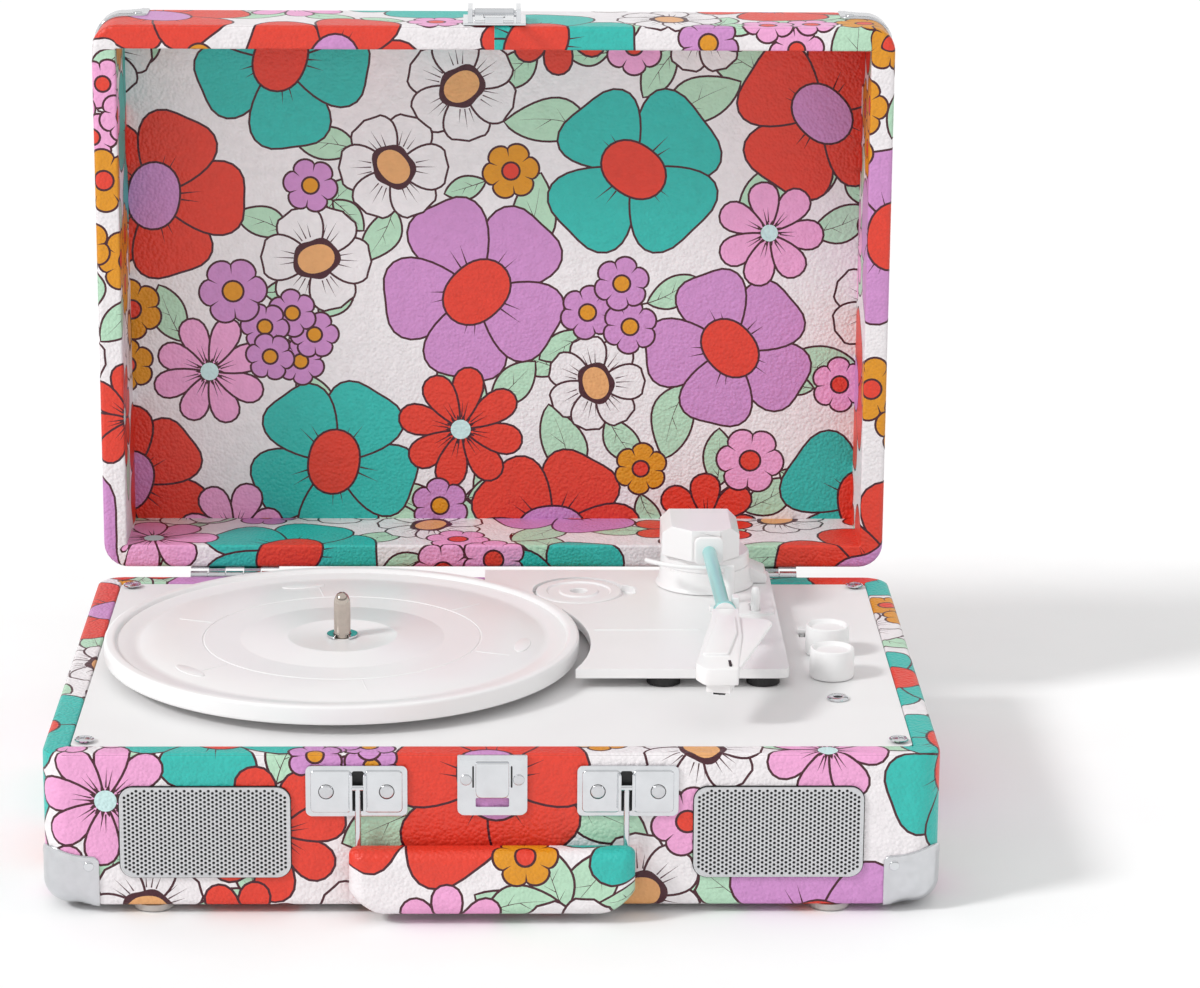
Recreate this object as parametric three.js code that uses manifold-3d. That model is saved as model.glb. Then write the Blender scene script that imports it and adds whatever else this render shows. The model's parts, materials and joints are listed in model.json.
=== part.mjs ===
// Suitcase record player: a hinged carrying case with a belt-driven turntable inside.
// Millimetres, +Z up. The case stands on its four feet at z = 0, front face towards -Y,
// lid stored open at a right angle behind the deck.
import * as THREE from "three";
import { mergeVertices } from "three/addons/utils/BufferGeometryUtils.js";
import Module from "manifold-3d";

const wasm = await Module();
wasm.setup();

// ---------------------------------------------------------------- driving dimensions
const GAP = 0.3; // clearance left between neighbouring pieces
const BASE = { w: 356, d: 248, h: 63.5, wall: 10.5, floor: 4, r: 11 };
const FOOT = { r: 8.5, h: 3.5, x: 135, y: 114.5 };
const RIM_Z = FOOT.h + BASE.h; // top of the base rim
const DECK = { t: 3, drop: 0.5, r: 3 };
const DECK_Z = RIM_Z - DECK.drop; // top of the motor board
const DECK_UNDER = DECK_Z - DECK.t;
const FRONT_Y = -BASE.d / 2;
const BACK_Y = BASE.d / 2;
const LID = { w: 353, l: 247, depth: 47, wall: 10.5, panel: 1.5, rimY: 129, footZ: 69.5, r: 11 };
const HINGE = { y: 127.45, z: 66.05, x: 117.5, w: 40, pin: 1.1, knuckle: 2.3, leaf: 0.8 };
const CORNER = { x: 24.4, y: 24.4, z: 22.5, t: 0.8 };
const PLATE_T = 1; // sheet thickness of the metal fittings on the front face
const GRILLE = { w: 67.4, h: 37.7, x: 113.5, z: 34.8, r: 5.5 };
const SPEAKER_R = 25;
const BRACKET = { w: 40.3, h: 21.2, x: 53.6, z: 52.1, rivet: 10.8 };
const CATCH = { w: 27.6, h: 25, tongueW: 13.2 };
const HANDLE = { x: 53, y: -127.6, z: 54.3, half: 56, top: 30.5, bottom: 4.5, back: -126, t: 12, wire: 1.2 };
const BEND_STEPS = 32; // sections along the bent handle wire
const PLATTER = { x: -63.7, y: -1, r: 100, top: 79, under: 71, ring: 75 };
const SPINDLE = { r: 3.5, top: 97 };
const MOTOR = { angle: 60, reach: 84, r: 17.5, pulley: 5 };
const BELT = { t: 1, clear: 0.9, width: 3.4, z: 70.2 };
const PLATFORM = { t: 4, top: 75, left: -4, right: 123, front: -39, back: 107, cut: 105, r: 4 };
const ADAPTER = { x: 37.5, y: 75, r: 19, hole: 3.7, t: 2.6, recess: 3 };
const ARM = { x: 93.5, y: 88, z: 96, tube: 3, length: 116, toe: 1.4 };
const HEAD = { rear: -118, front: -183, offset: 14, rearX: [-5.7, 18.5], frontX: [-16.5, 0.5] };
const LIFT = { reach: 35, w: 5, t: 3, stem: 2.5 };
const CUE = { x: 113.5, y: 44, axleZ: 69.2, top: 86 };
const KNOB = { r: 9.4, h: 12.4 };
const VOLUME = { x: 141.8, y: -22 };
const SELECTOR = { x: 142.3, y: 10.2 };
const SLIDER = { x: 133.5, y: 38.8, travel: 3 };
const JACK = { x: 142, y: -52.8, r: 3.4 };
const SCREW = { x: 162, y: 107.5, r: 4 };
const REAR_PANEL = { w: 60, h: 22, z: 24, t: 1.5 };
const ORIGIN_Y = 19.55; // half way between the handle's front and the lid's back

// ---------------------------------------------------------------- materials
const FINISH = {
  floral: ["#ece6e6", 0.55, 0],
  white: ["#f1f0ef", 0.4, 0],
  satin: ["#c9c9cb", 0.35, 0.9],
  chrome: ["#d7d8da", 0.12, 1],
  rubber: ["#1b1b1c", 0.85, 0],
  black: ["#151516", 0.6, 0],
  aqua: ["#9ccfcd", 0.35, 0],
  board: ["#2f5a3a", 0.6, 0],
  copper: ["#b9863d", 0.4, 0.8],
};
const material = (slot) => {
  const [color, roughness, metalness] = FINISH[slot];
  return new THREE.MeshStandardMaterial({ color, roughness, metalness });
};

// ---------------------------------------------------------------- solids and booleans
const solid = (geometry) => {
  const bare = geometry.clone();
  bare.deleteAttribute("normal");
  bare.deleteAttribute("uv");
  const merged = mergeVertices(bare, 1e-4);
  return new wasm.Manifold(new wasm.Mesh({
    numProp: 3,
    vertProperties: new Float32Array(merged.attributes.position.array),
    triVerts: new Uint32Array(merged.index.array),
  }));
};
const surface = (manifold) => {
  const mesh = manifold.getMesh();
  const geometry = new THREE.BufferGeometry();
  geometry.setAttribute("position", new THREE.BufferAttribute(mesh.vertProperties, 3));
  geometry.setIndex(new THREE.BufferAttribute(mesh.triVerts, 1));
  geometry.computeVertexNormals();
  return geometry;
};
const join = (first, ...others) => surface(others.reduce((all, next) => all.add(solid(next)), solid(first)));
const cut = (first, ...others) => surface(others.reduce((all, next) => all.subtract(solid(next)), solid(first)));
const common = (first, second) => surface(solid(first).intersect(solid(second)));

// Outline of a rectangle with rounded corners, centred on the origin.
const roundedRect = (w, h, r) => {
  const shape = new THREE.Shape();
  const x = w / 2;
  const y = h / 2;
  shape.moveTo(-x + r, -y);
  shape.lineTo(x - r, -y);
  shape.absarc(x - r, -y + r, r, -Math.PI / 2, 0);
  shape.lineTo(x, y - r);
  shape.absarc(x - r, y - r, r, 0, Math.PI / 2);
  shape.lineTo(-x + r, y);
  shape.absarc(-x + r, y - r, r, Math.PI / 2, Math.PI);
  shape.lineTo(-x, -y + r);
  shape.absarc(-x + r, -y + r, r, Math.PI, 1.5 * Math.PI);
  return shape;
};
const extrude = (shape, depth, segments = 5) =>
  new THREE.ExtrudeGeometry(shape, { depth, bevelEnabled: false, curveSegments: segments });
// Plate lying in XY between z0 and z1.
const slab = (w, d, r, z0, z1, x = 0, y = 0) => extrude(roundedRect(w, d, r), z1 - z0).translate(x, y, z0);
// Plate standing in XZ between y0 (front) and y1 (back).
const upright = (w, h, r, y0, y1, x = 0, z = 0) =>
  extrude(roundedRect(w, h, r), y1 - y0).rotateX(Math.PI / 2).translate(x, y1, z);
const box = (x0, x1, y0, y1, z0, z1) =>
  new THREE.BoxGeometry(x1 - x0, y1 - y0, z1 - z0).translate((x0 + x1) / 2, (y0 + y1) / 2, (z0 + z1) / 2);
// Rod along Z, X or Y.
const rodZ = (r, z0, z1, x = 0, y = 0, sides = 16) =>
  new THREE.CylinderGeometry(r, r, z1 - z0, sides).rotateX(Math.PI / 2).translate(x, y, (z0 + z1) / 2);
const rodX = (r, x0, x1, y, z, sides = 12) =>
  new THREE.CylinderGeometry(r, r, x1 - x0, sides).rotateZ(Math.PI / 2).translate((x0 + x1) / 2, y, z);
const rodY = (r, y0, y1, x, z, sides = 16) =>
  new THREE.CylinderGeometry(r, r, y1 - y0, sides).translate(x, (y0 + y1) / 2, z);
// Prism along X, centred on x = 0, from an outline drawn in (y, z).
const crossways = (shape, width) =>
  extrude(shape, width).rotateX(Math.PI / 2).rotateZ(Math.PI / 2).translate(-width / 2, 0, 0);
// Solid of revolution about Z from [radius, height] pairs; a ring when no point is on the axis.
const turned = (points, sides = 24) => {
  const onAxis = points.some(([r]) => r === 0);
  const profile = points.map(([r, z]) => new THREE.Vector2(r, z));
  if (!onAxis) profile.push(profile[0].clone());
  return new THREE.LatheGeometry(profile, sides).rotateX(Math.PI / 2);
};
// Wire of round section swept along a line of points.
const wire = (points, r, steps, sides = 6) => {
  const path = new THREE.CurvePath();
  points.slice(1).forEach((point, i) => path.add(new THREE.LineCurve3(points[i], point)));
  const section = new THREE.Shape();
  section.absarc(0, 0, r, 0, 2 * Math.PI);
  return new THREE.ExtrudeGeometry(section, { extrudePath: path, steps, curveSegments: sides / 2 });
};

// ---------------------------------------------------------------- assembly
const player = new THREE.Group();
player.position.y = -ORIGIN_Y;
const place = (name, slot, geometry, parent = player) => {
  const mesh = new THREE.Mesh(geometry, material(slot));
  mesh.name = name;
  parent.add(mesh);
  return mesh;
};
const SIDES = [["left", -1], ["right", 1]];
const CORNERS = [[-1, -1], [1, -1], [1, 1], [-1, 1]];
const inner = { w: BASE.w - 2 * BASE.wall, d: BASE.d - 2 * BASE.wall - 1 };

// Open tray with corner posts that carry the motor board and windows for the speakers and jacks.
function baseCase() {
  const posts = CORNERS.map(([sx, sy]) => {
    const x = sx * (inner.w / 2 - 5);
    const y = sy * (inner.d / 2 - 5);
    return box(x - 6, x + 6, y - 6, y + 6, FOOT.h + 2, DECK_UNDER - GAP);
  });
  const shell = cut(
    slab(BASE.w, BASE.d, BASE.r, FOOT.h, RIM_Z),
    slab(inner.w, inner.d, 2, FOOT.h + BASE.floor, RIM_Z + 1),
  );
  const windows = SIDES.map(([, s]) =>
    upright(GRILLE.w - 8, GRILLE.h - 7, 4, FRONT_Y - 1, FRONT_Y + BASE.wall + 2, s * GRILLE.x, GRILLE.z));
  const rear = box(-24, 24, BACK_Y - BASE.wall - 2, BACK_Y + 1, REAR_PANEL.z - 7, REAR_PANEL.z + 7);
  const pilots = CORNERS.map(([sx, sy]) => rodZ(1.9, 60, 65, sx * SCREW.x, sy * SCREW.y, 10));
  place("base_case", "floral", cut(join(shell, ...posts), ...windows, ...pilots, rear));
}

// Motor board with its holes for the bearing, motor shaft, controls, jack and slider.
function motorBoard() {
  const [mx, my] = motorPlace();
  const holes = [
    rodZ(6, 60, 70, PLATTER.x, PLATTER.y),
    rodZ(4, 60, 70, mx, my),
    rodZ(3.4, 60, 70, VOLUME.x, VOLUME.y, 12),
    rodZ(3.4, 60, 70, SELECTOR.x, SELECTOR.y, 12),
    rodZ(JACK.r + GAP, 60, 70, JACK.x, JACK.y, 12),
    box(SLIDER.x - 1.5, SLIDER.x + 1.5, SLIDER.y - 6, SLIDER.y + 6, 60, 70),
    ...CORNERS.map(([sx, sy]) => rodZ(1.9, 60, 70, sx * SCREW.x, sy * SCREW.y, 10)),
  ];
  const plate = slab(inner.w - 2 * GAP, inner.d - 2 * GAP, DECK.r, DECK_UNDER, DECK_Z);
  place("motor_board", "white", cut(plate, ...holes));
}
function motorPlace() {
  const a = THREE.MathUtils.degToRad(MOTOR.angle);
  return [PLATTER.x + MOTOR.reach * Math.cos(a), PLATTER.y + MOTOR.reach * Math.sin(a)];
}

// Cross-head screws with cup washers, one at each corner of the motor board.
function deckScrews() {
  CORNERS.forEach(([sx, sy], i) => {
    const profile = [[0, 61], [1.6, 61], [1.6, DECK_Z + GAP], [SCREW.r, DECK_Z + GAP],
      [SCREW.r - 1, DECK_Z + 1.4], [0, DECK_Z + 1.9]];
    const screw = turned(profile, 14).translate(sx * SCREW.x, sy * SCREW.y, 0);
    place(`deck_screw_${i + 1}`, "satin", screw);
  });
}

function feet() {
  CORNERS.forEach(([sx, sy], i) => {
    const profile = [[0, 0], [FOOT.r - 1, 0], [FOOT.r, 1], [FOOT.r, FOOT.h - GAP], [0, FOOT.h - GAP]];
    place(`foot_${i + 1}`, "rubber", turned(profile, 18).translate(sx * FOOT.x, sy * FOOT.y, 0));
  });
}

// Pressed metal caps: a thin skin outside the case outline, kept to one vertex of the case.
function cornerCap(w, d, r, sx, sy) {
  const out = GAP + CORNER.t;
  const skin = cut(
    slab(w + 2 * out, d + 2 * out, r + out, -out, CORNER.z),
    slab(w + 2 * GAP, d + 2 * GAP, r + GAP, -GAP, CORNER.z + 1),
  );
  const x = sx * (w / 2 - CORNER.x / 2 + 10);
  const y = sy * (d / 2 - CORNER.y / 2 + 10);
  const keep = box(x - CORNER.x / 2 - 10, x + CORNER.x / 2 + 10, y - CORNER.y / 2 - 10,
    y + CORNER.y / 2 + 10, -5, CORNER.z + 5);
  return common(skin, keep);
}
function baseCorners() {
  CORNERS.forEach(([sx, sy], i) => {
    const cap = cornerCap(BASE.w, BASE.d, BASE.r, sx, sy).translate(0, 0, FOOT.h);
    place(`base_corner_${i + 1}`, "satin", cap);
  });
}

function speakers() {
  for (const [side, s] of SIDES) {
    const plate = upright(GRILLE.w, GRILLE.h, GRILLE.r, FRONT_Y - GAP - PLATE_T, FRONT_Y - GAP,
      s * GRILLE.x, GRILLE.z);
    place(`speaker_grille_${side}`, "satin", plate);
    const cone = [[0, 4], [6, 4], [SPEAKER_R - 4, 0.6], [SPEAKER_R, 0.6], [SPEAKER_R, 2.5],
      [14, 12], [14, 22], [0, 22]];
    const driver = turned(cone, 20).rotateX(-Math.PI / 2)
      .translate(s * GRILLE.x, FRONT_Y + BASE.wall + 0.8, GRILLE.z);
    place(`speaker_${side}`, "black", driver);
  }
}

// Amplifier board hung under the motor board by its two rotary controls.
function circuitBoard() {
  const controls = [VOLUME, SELECTOR].flatMap(({ x, y }) => [
    rodZ(8.5, 49, DECK_UNDER - 1, x, y, 16),
    rodZ(2.9, 55, 75.5, x, y, 12),
  ]);
  place("circuit_board", "board", join(slab(52, 116, 2, 48, 49.6, 139, -14), ...controls));
}

function drive() {
  const [mx, my] = motorPlace();
  const can = turned([[0, 40], [MOTOR.r, 40], [MOTOR.r, 61], [6, 61], [6, DECK_UNDER - GAP],
    [1, DECK_UNDER - GAP], [1, 74], [0, 74]], 20);
  place("motor", "satin", can.translate(mx, my, 0));
  const pulley = turned([[1.3, 68.5], [MOTOR.pulley + 1, 68.5], [MOTOR.pulley + 1, 69.4],
    [MOTOR.pulley, 69.8], [MOTOR.pulley, 74], [MOTOR.pulley + 1, 74.3], [1.3, 74.3]], 20);
  place("motor_pulley", "copper", pulley.translate(mx, my, 0));
  const outer = beltOutline(PLATTER.ring + BELT.clear + BELT.t, MOTOR.pulley + BELT.clear + BELT.t);
  outer.holes.push(beltOutline(PLATTER.ring + BELT.clear, MOTOR.pulley + BELT.clear));
  const belt = extrude(outer, BELT.width, 22).rotateZ(THREE.MathUtils.degToRad(MOTOR.angle));
  place("drive_belt", "rubber", belt.translate(PLATTER.x, PLATTER.y, BELT.z));
}
// Tangent loop round the drive ring at the origin and the pulley at MOTOR.reach along X.
function beltOutline(ringR, pulleyR) {
  const a = Math.acos((ringR - pulleyR) / MOTOR.reach);
  const shape = new THREE.Shape();
  shape.absarc(0, 0, ringR, a, 2 * Math.PI - a);
  shape.absarc(MOTOR.reach, 0, pulleyR, -a, a);
  shape.closePath();
  return shape;
}

// Platter: flat plate with a raised lip, a hub and a drive ring underneath.
function platter() {
  const { r, top, under, ring } = PLATTER;
  const floor = top - 1.4;
  const profile = [[SPINDLE.r + GAP, 69.6], [8, 69.6], [8, floor - 2.4], [ring - 3, floor - 2.4],
    [ring - 3, 69.6], [ring, 69.6], [ring, floor - 2.4], [r - 4, floor - 2.4], [r - 4, under],
    [r - 0.8, under], [r, under + 0.8], [r, top - 1], [r - 1, top], [r - 5, top], [r - 6, floor],
    [SPINDLE.r + GAP, floor]];
  place("platter", "white", turned(profile, 52).translate(PLATTER.x, PLATTER.y, 0));
  const post = turned([[0, 60], [5.6, 60], [5.6, DECK_Z + GAP], [9, DECK_Z + GAP], [9, 68.4],
    [SPINDLE.r, 68.6], [SPINDLE.r, SPINDLE.top - 2.5], [SPINDLE.r - 1.2, SPINDLE.top - 0.6],
    [0, SPINDLE.top]], 20);
  place("spindle", "chrome", post.translate(PLATTER.x, PLATTER.y, 0));
  const clip = new THREE.Shape();
  clip.absarc(0, 0, 6.6, -1.1, Math.PI + 1.1);
  clip.absarc(0, 0, SPINDLE.r + GAP, Math.PI + 0.9, -0.9, true);
  clip.closePath();
  place("spindle_clip", "satin", extrude(clip, 0.9, 12).translate(PLATTER.x, PLATTER.y, floor + GAP));
}

// Raised tonearm platform, cut back round the platter, on four short legs.
function tonearmPlatform() {
  const { left, right, front, back, cut: reach, r, top, t } = PLATFORM;
  const at = (y) => Math.acos((Math.sqrt(reach ** 2 - (y - PLATTER.y) ** 2)) / reach);
  const shape = new THREE.Shape();
  shape.moveTo(PLATTER.x + Math.sqrt(reach ** 2 - (front - PLATTER.y) ** 2), front);
  shape.lineTo(right - r, front);
  shape.absarc(right - r, front + r, r, -Math.PI / 2, 0);
  shape.lineTo(right, back - r);
  shape.absarc(right - r, back - r, r, 0, Math.PI / 2);
  shape.lineTo(left, back);
  shape.absarc(PLATTER.x, PLATTER.y, reach, Math.acos((left - PLATTER.x) / reach), -at(front), true);
  const recess = rodZ(ADAPTER.r + 1.5, top - ADAPTER.recess, top + 1, ADAPTER.x, ADAPTER.y, 32);
  const notch = slab(12, 15, 5, top - ADAPTER.recess, top + 1, ADAPTER.x + ADAPTER.r, ADAPTER.y);
  const slot = box(CUE.x - 1.9, CUE.x + 1.9, CUE.y - 1.6, CUE.y + 8, top - t - 1, top + 1);
  const stem = liftStem();
  const bore = rodZ(LIFT.stem + GAP, top - t - 1, top + 1, stem.x, stem.y, 12);
  const legs = [[71, front + 8.5, 7], [right - 10.5, front + 8.5, 7], [right - 12, back - 10, 4], [8, back - 8, 4]]
    .map(([x, y, size]) => rodZ(size, DECK_Z + GAP, top - t + 1, x, y, 20));
  const plate = extrude(shape, t, 8).translate(0, 0, top - t);
  place("tonearm_platform", "white", cut(join(plate, ...legs), recess, notch, slot, bore));
}
function liftStem() {
  const a = THREE.MathUtils.degToRad(15);
  return { x: ARM.x + LIFT.reach * Math.sin(a), y: ARM.y - LIFT.reach * Math.cos(a) };
}

// Fixed column with a swivel bore, and a low wing that runs to the platform's back corner.
function tonearmBase() {
  const z0 = PLATFORM.top + GAP;
  const column = turned([[5.3, z0], [21.5, z0], [20.3, z0 + 2], [19.8, z0 + 8], [19.4, 90.6], [5.3, 90.6]], 28)
    .translate(ARM.x, ARM.y, 0);
  const side = new THREE.Shape();
  side.moveTo(12, 0);
  side.lineTo(27.5, 0);
  side.lineTo(27.5, 4);
  side.lineTo(12, 11);
  side.closePath();
  const wing = extrude(side, 17).rotateX(Math.PI / 2).translate(ARM.x, ARM.y + 14, z0);
  place("tonearm_base", "white", join(column, wing));
}

// Adapter for large-hole records, lying in its recess.
function recordAdapter() {
  const z = PLATFORM.top - ADAPTER.recess + GAP;
  const disc = turned([[ADAPTER.hole, z], [ADAPTER.r, z], [ADAPTER.r, z + ADAPTER.t - 0.6],
    [ADAPTER.r - 0.6, z + ADAPTER.t], [ADAPTER.hole, z + ADAPTER.t]], 24);
  place("record_adapter", "white", disc.translate(ADAPTER.x, ADAPTER.y, 0));
}

// Swivelling head: a block chamfered at its front corners, with a channel in which the arm tube tilts.
function tonearmYoke() {
  const z0 = 90.9;
  const top = 105;
  const front = new THREE.Shape();
  front.moveTo(-19.5, z0);
  front.lineTo(14.5, z0);
  front.lineTo(14.5, top - 4);
  front.lineTo(10.5, top);
  front.lineTo(-15.5, top);
  front.lineTo(-19.5, top - 4);
  front.closePath();
  const plan = new THREE.Shape();
  plan.moveTo(-19.5, -12);
  plan.lineTo(-7, -23);
  plan.lineTo(6, -23);
  plan.lineTo(14.5, -14);
  plan.lineTo(14.5, 14);
  plan.lineTo(-19.5, 14);
  plan.closePath();
  const block = common(extrude(front, 40).rotateX(Math.PI / 2).translate(0, 14, 0),
    extrude(plan, top + 1 - z0).translate(0, 0, z0 - 0.5)).translate(ARM.x, ARM.y, 0);
  const toe = THREE.MathUtils.degToRad(ARM.toe);
  const channel = box(-5, 5, -30, 12, 92.1, 102).rotateZ(toe).translate(ARM.x, ARM.y, 0);
  const bearing = rodX(1.9, -10, 10, 0, ARM.z).rotateZ(toe).translate(ARM.x, ARM.y, 0);
  const spigot = rodZ(5, 78, z0 + 1, ARM.x, ARM.y, 18);
  place("tonearm_yoke", "white", join(cut(block, channel, bearing), spigot));
}

// Arm tube with its cross pin, head, cartridge and stylus, in a frame at the arm's pivot.
function tonearm() {
  const arm = new THREE.Group();
  arm.position.set(ARM.x, ARM.y, ARM.z);
  arm.rotation.z = THREE.MathUtils.degToRad(ARM.toe);
  player.add(arm);
  const collar = rodY(4.6, -ARM.length, -ARM.length + 8, 0, 0);
  const tube = join(rodY(ARM.tube, -ARM.length, 6, 0, 0), rodX(1.5, -9, 9, 0, 0), collar);
  place("tonearm_tube", "aqua", tube, arm);
  place("headshell", "white", headshell(), arm);
  const holder = new THREE.Group();
  holder.position.set(-8, HEAD.front, 0);
  holder.rotation.z = -THREE.MathUtils.degToRad(HEAD.offset);
  arm.add(holder);
  place("cartridge", "white", box(-5, 5, 2.5, 21, -13.9, -10.3), holder);
  const shank = box(-2.4, 2.4, 4, 15, -15, -14.2);
  const needle = turned([[0, -16], [0.7, -14.6], [0, -14]], 8).translate(0, 6, 0);
  place("stylus", "rubber", join(shank, needle), holder);
}
// Tapered shell turned inwards by the offset angle, its outer rear corner drawn out as a finger lift.
function headshell() {
  const { rear, front, rearX, frontX } = HEAD;
  const plan = new THREE.Shape();
  plan.moveTo(-4.5, rear);
  plan.lineTo(rearX[0], rear - 5);
  plan.lineTo(frontX[0], front + 4);
  plan.lineTo(frontX[0] + 4, front);
  plan.lineTo(frontX[1], front);
  plan.lineTo(rearX[1], rear - 9);
  plan.lineTo(5, rear);
  plan.closePath();
  const side = new THREE.Shape();
  side.moveTo(rear + 1, 3);
  side.lineTo(rear - 12, 2.4);
  side.lineTo(front - 1, -3);
  side.lineTo(front - 1, -10);
  side.lineTo(front + 34, -10);
  side.lineTo(rear - 8, -3.5);
  side.lineTo(rear + 1, -3.5);
  side.closePath();
  return common(extrude(plan, 20).translate(0, 0, -12), crossways(side, 60));
}
// Support for the parked arm: a shelf under the tube and a cheek on its outer side.
function armRest() {
  const x = ARM.x + 6.8;
  const cheek = box(x, x + 3, -10, -4, PLATFORM.top + GAP, ARM.z + 1);
  const shelf = box(x - 9.5, x + 1, -9, -5, ARM.z - ARM.tube - 2.4, ARM.z - ARM.tube - GAP);
  const flange = box(x - 3, x + 7, -12, -2, PLATFORM.top + GAP, PLATFORM.top + 2);
  place("arm_rest", "white", join(cheek, shelf, flange));
}

// Curved lift bar under the tube, on a stem, and the finger lever that raises it.
function cueing() {
  const top = ARM.z - ARM.tube - GAP;
  const from = THREE.MathUtils.degToRad(-90 - 50);
  const to = THREE.MathUtils.degToRad(-90 + 18);
  const bar = new THREE.Shape();
  bar.absarc(0, 0, LIFT.reach + LIFT.w / 2, from, to);
  bar.absarc(0, 0, LIFT.reach - LIFT.w / 2, to, from, true);
  bar.closePath();
  const stem = liftStem();
  const rail = extrude(bar, LIFT.t, 14).translate(ARM.x, ARM.y, top - LIFT.t);
  place("cue_lift", "white", join(rail, rodZ(LIFT.stem, 68, top - 1, stem.x, stem.y, 12)));
  const blade = box(CUE.x - 1.3, CUE.x + 1.3, CUE.y - 1, CUE.y + 1, CUE.axleZ - 1, CUE.top);
  place("cue_lever", "white", join(blade, rodX(1.2, CUE.x - 5, CUE.x + 5, CUE.y, CUE.axleZ, 10)));
}

// Rotary knobs, the small slide switch and the headphone socket.
function controls() {
  place("knob_volume", "white", knob().translate(VOLUME.x, VOLUME.y, 0));
  place("knob_selector", "white", knob().translate(SELECTOR.x, SELECTOR.y, 0));
  const cap = box(-2, 2, -2, 2, DECK_Z + GAP, DECK_Z + 2.2);
  const stalk = box(-1, 1, -1.5, 1.5, 61, DECK_Z + 1);
  place("auto_stop_slider", "white", join(cap, stalk).translate(SLIDER.x, SLIDER.y, 0));
  const socket = turned([[0, 50], [JACK.r, 50], [JACK.r, DECK_Z + GAP], [4.6, DECK_Z + GAP],
    [4.2, DECK_Z + 1.3], [1.8, DECK_Z + 1.3], [1.8, 56], [0, 56]], 18);
  place("headphone_jack", "chrome", socket.translate(JACK.x, JACK.y, 0));
}
// Knob with a dished top and a blind bore from below for its shaft.
function knob() {
  const z0 = DECK_Z + 0.4;
  const top = z0 + KNOB.h;
  const body = turned([[0, z0], [KNOB.r, z0], [KNOB.r - 0.3, top - 0.6], [KNOB.r - 0.9, top],
    [KNOB.r - 1.6, top - 0.3], [0, top - 1]], 28);
  return cut(body, rodZ(3.2, 60, 75.9, 0, 0, 14));
}

// Front-face fittings: the latch catch and the two handle brackets.
function frontFittings() {
  const y = FRONT_Y - GAP;
  const catchZ = RIM_Z - CATCH.h / 2;
  const tongue = box(-CATCH.tongueW / 2, CATCH.tongueW / 2, y - 2.6, y - 0.5, 49.5, 64.4);
  const hole = box(-CATCH.tongueW / 2, CATCH.tongueW / 2, y - 3, y + 1, 45.5, 49.2);
  place("latch_catch", "chrome",
    join(cut(upright(CATCH.w, CATCH.h, 3, y - PLATE_T, y, 0, catchZ), hole), tongue));
  for (const [side, s] of SIDES) {
    const x = s * BRACKET.x;
    const bores = rodX(HANDLE.wire + GAP, x - 12, x + 12, HANDLE.y, HANDLE.z);
    const ears = [-1, 1].map((e) => {
      const ear = x + e * 4.6 - s * 0.6;
      return box(ear - 1.2, ear + 1.2, HANDLE.y - 2.8, y - 0.4, HANDLE.z - 3, HANDLE.z + 3);
    });
    const rivets = [-1, 1].map((e) => rodY(3.2, y - PLATE_T - 0.8, y - 0.4, x + e * BRACKET.rivet, BRACKET.z));
    const plate = upright(BRACKET.w, BRACKET.h, 2, y - PLATE_T, y, x, BRACKET.z);
    place(`handle_bracket_${side}`, "chrome", cut(join(plate, ...ears, ...rivets), bores));
  }
}

// Carrying handle: a covered grip on a bent wire whose cross ends turn in the brackets.
function handle() {
  const { x, y, z, half, top, bottom, t, wire: r } = HANDLE;
  const low = bottom + 11;
  const path = [[-x, z], [-x, low + 3], [-x + 3, low], [x - 3, low], [x, low + 3], [x, z]]
    .map(([px, pz]) => new THREE.Vector3(px, y, pz));
  const bail = wire(path, r, BEND_STEPS);
  const ends = SIDES.map(([, s]) => rodX(r, s * x - 7, s * x + 7, y, z, 10));
  place("handle_wire", "chrome", join(bail, ...ends));
  const outline = new THREE.Shape();
  const slope = 11;
  outline.moveTo(-half + 3, top);
  outline.absarc(-half + 3, top - 3, 3, Math.PI / 2, Math.PI);
  outline.lineTo(-half, bottom + 10);
  outline.quadraticCurveTo(-half + 2, bottom, -half + slope, bottom);
  outline.lineTo(half - slope, bottom);
  outline.quadraticCurveTo(half - 2, bottom, half, bottom + 10);
  outline.lineTo(half, top - 3);
  outline.absarc(half - 3, top - 3, 3, 0, Math.PI / 2);
  outline.closePath();
  const grip = extrude(outline, t, 6).rotateX(Math.PI / 2).translate(0, HANDLE.back, 0);
  place("handle_grip", "floral", cut(grip, wire(path, r + GAP, BEND_STEPS)));
}

// Butt hinges on the back: leaves with interleaved knuckles round a headless pin.
function hinges() {
  const { y, z, w, pin, knuckle, leaf } = HINGE;
  const pitch = w / 5;
  for (const [side, s] of SIDES) {
    const x0 = s * HINGE.x - w / 2;
    const spans = [0, 1, 2, 3, 4].map((i) => [x0 + i * pitch + 0.2, x0 + (i + 1) * pitch - 0.2]);
    const bore = rodX(pin + GAP, x0 - 1, x0 + w + 1, y, z);
    const back = BACK_Y + GAP;
    const baseLeaf = spans.filter((_, i) => i % 2 === 0).flatMap(([a, b]) => [
      rodX(knuckle, a, b, y, z),
      box(a, b, back, y, z - knuckle, z - 1),
      box(a, b, back, back + leaf, 60, z - 1),
    ]);
    place(`hinge_leaf_base_${side}`, "chrome",
      cut(join(box(x0, x0 + w, back, back + leaf, 50, 63), ...baseLeaf), bore));
    const under = LID.footZ - GAP;
    const lidLeaf = spans.filter((_, i) => i % 2 === 1).flatMap(([a, b]) => [
      rodX(knuckle, a, b, y, z),
      box(a, b, y + 1, y + knuckle, z, under),
      box(a, b, y + 1, 134, under - leaf, under),
    ]);
    place(`hinge_leaf_lid_${side}`, "chrome",
      cut(join(box(x0, x0 + w, 131, 145, under - leaf, under), ...lidLeaf), bore));
    place(`hinge_pin_${side}`, "chrome", rodX(pin, x0 + 0.2, x0 + w - 0.2, y, z, 10));
  }
}

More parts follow.
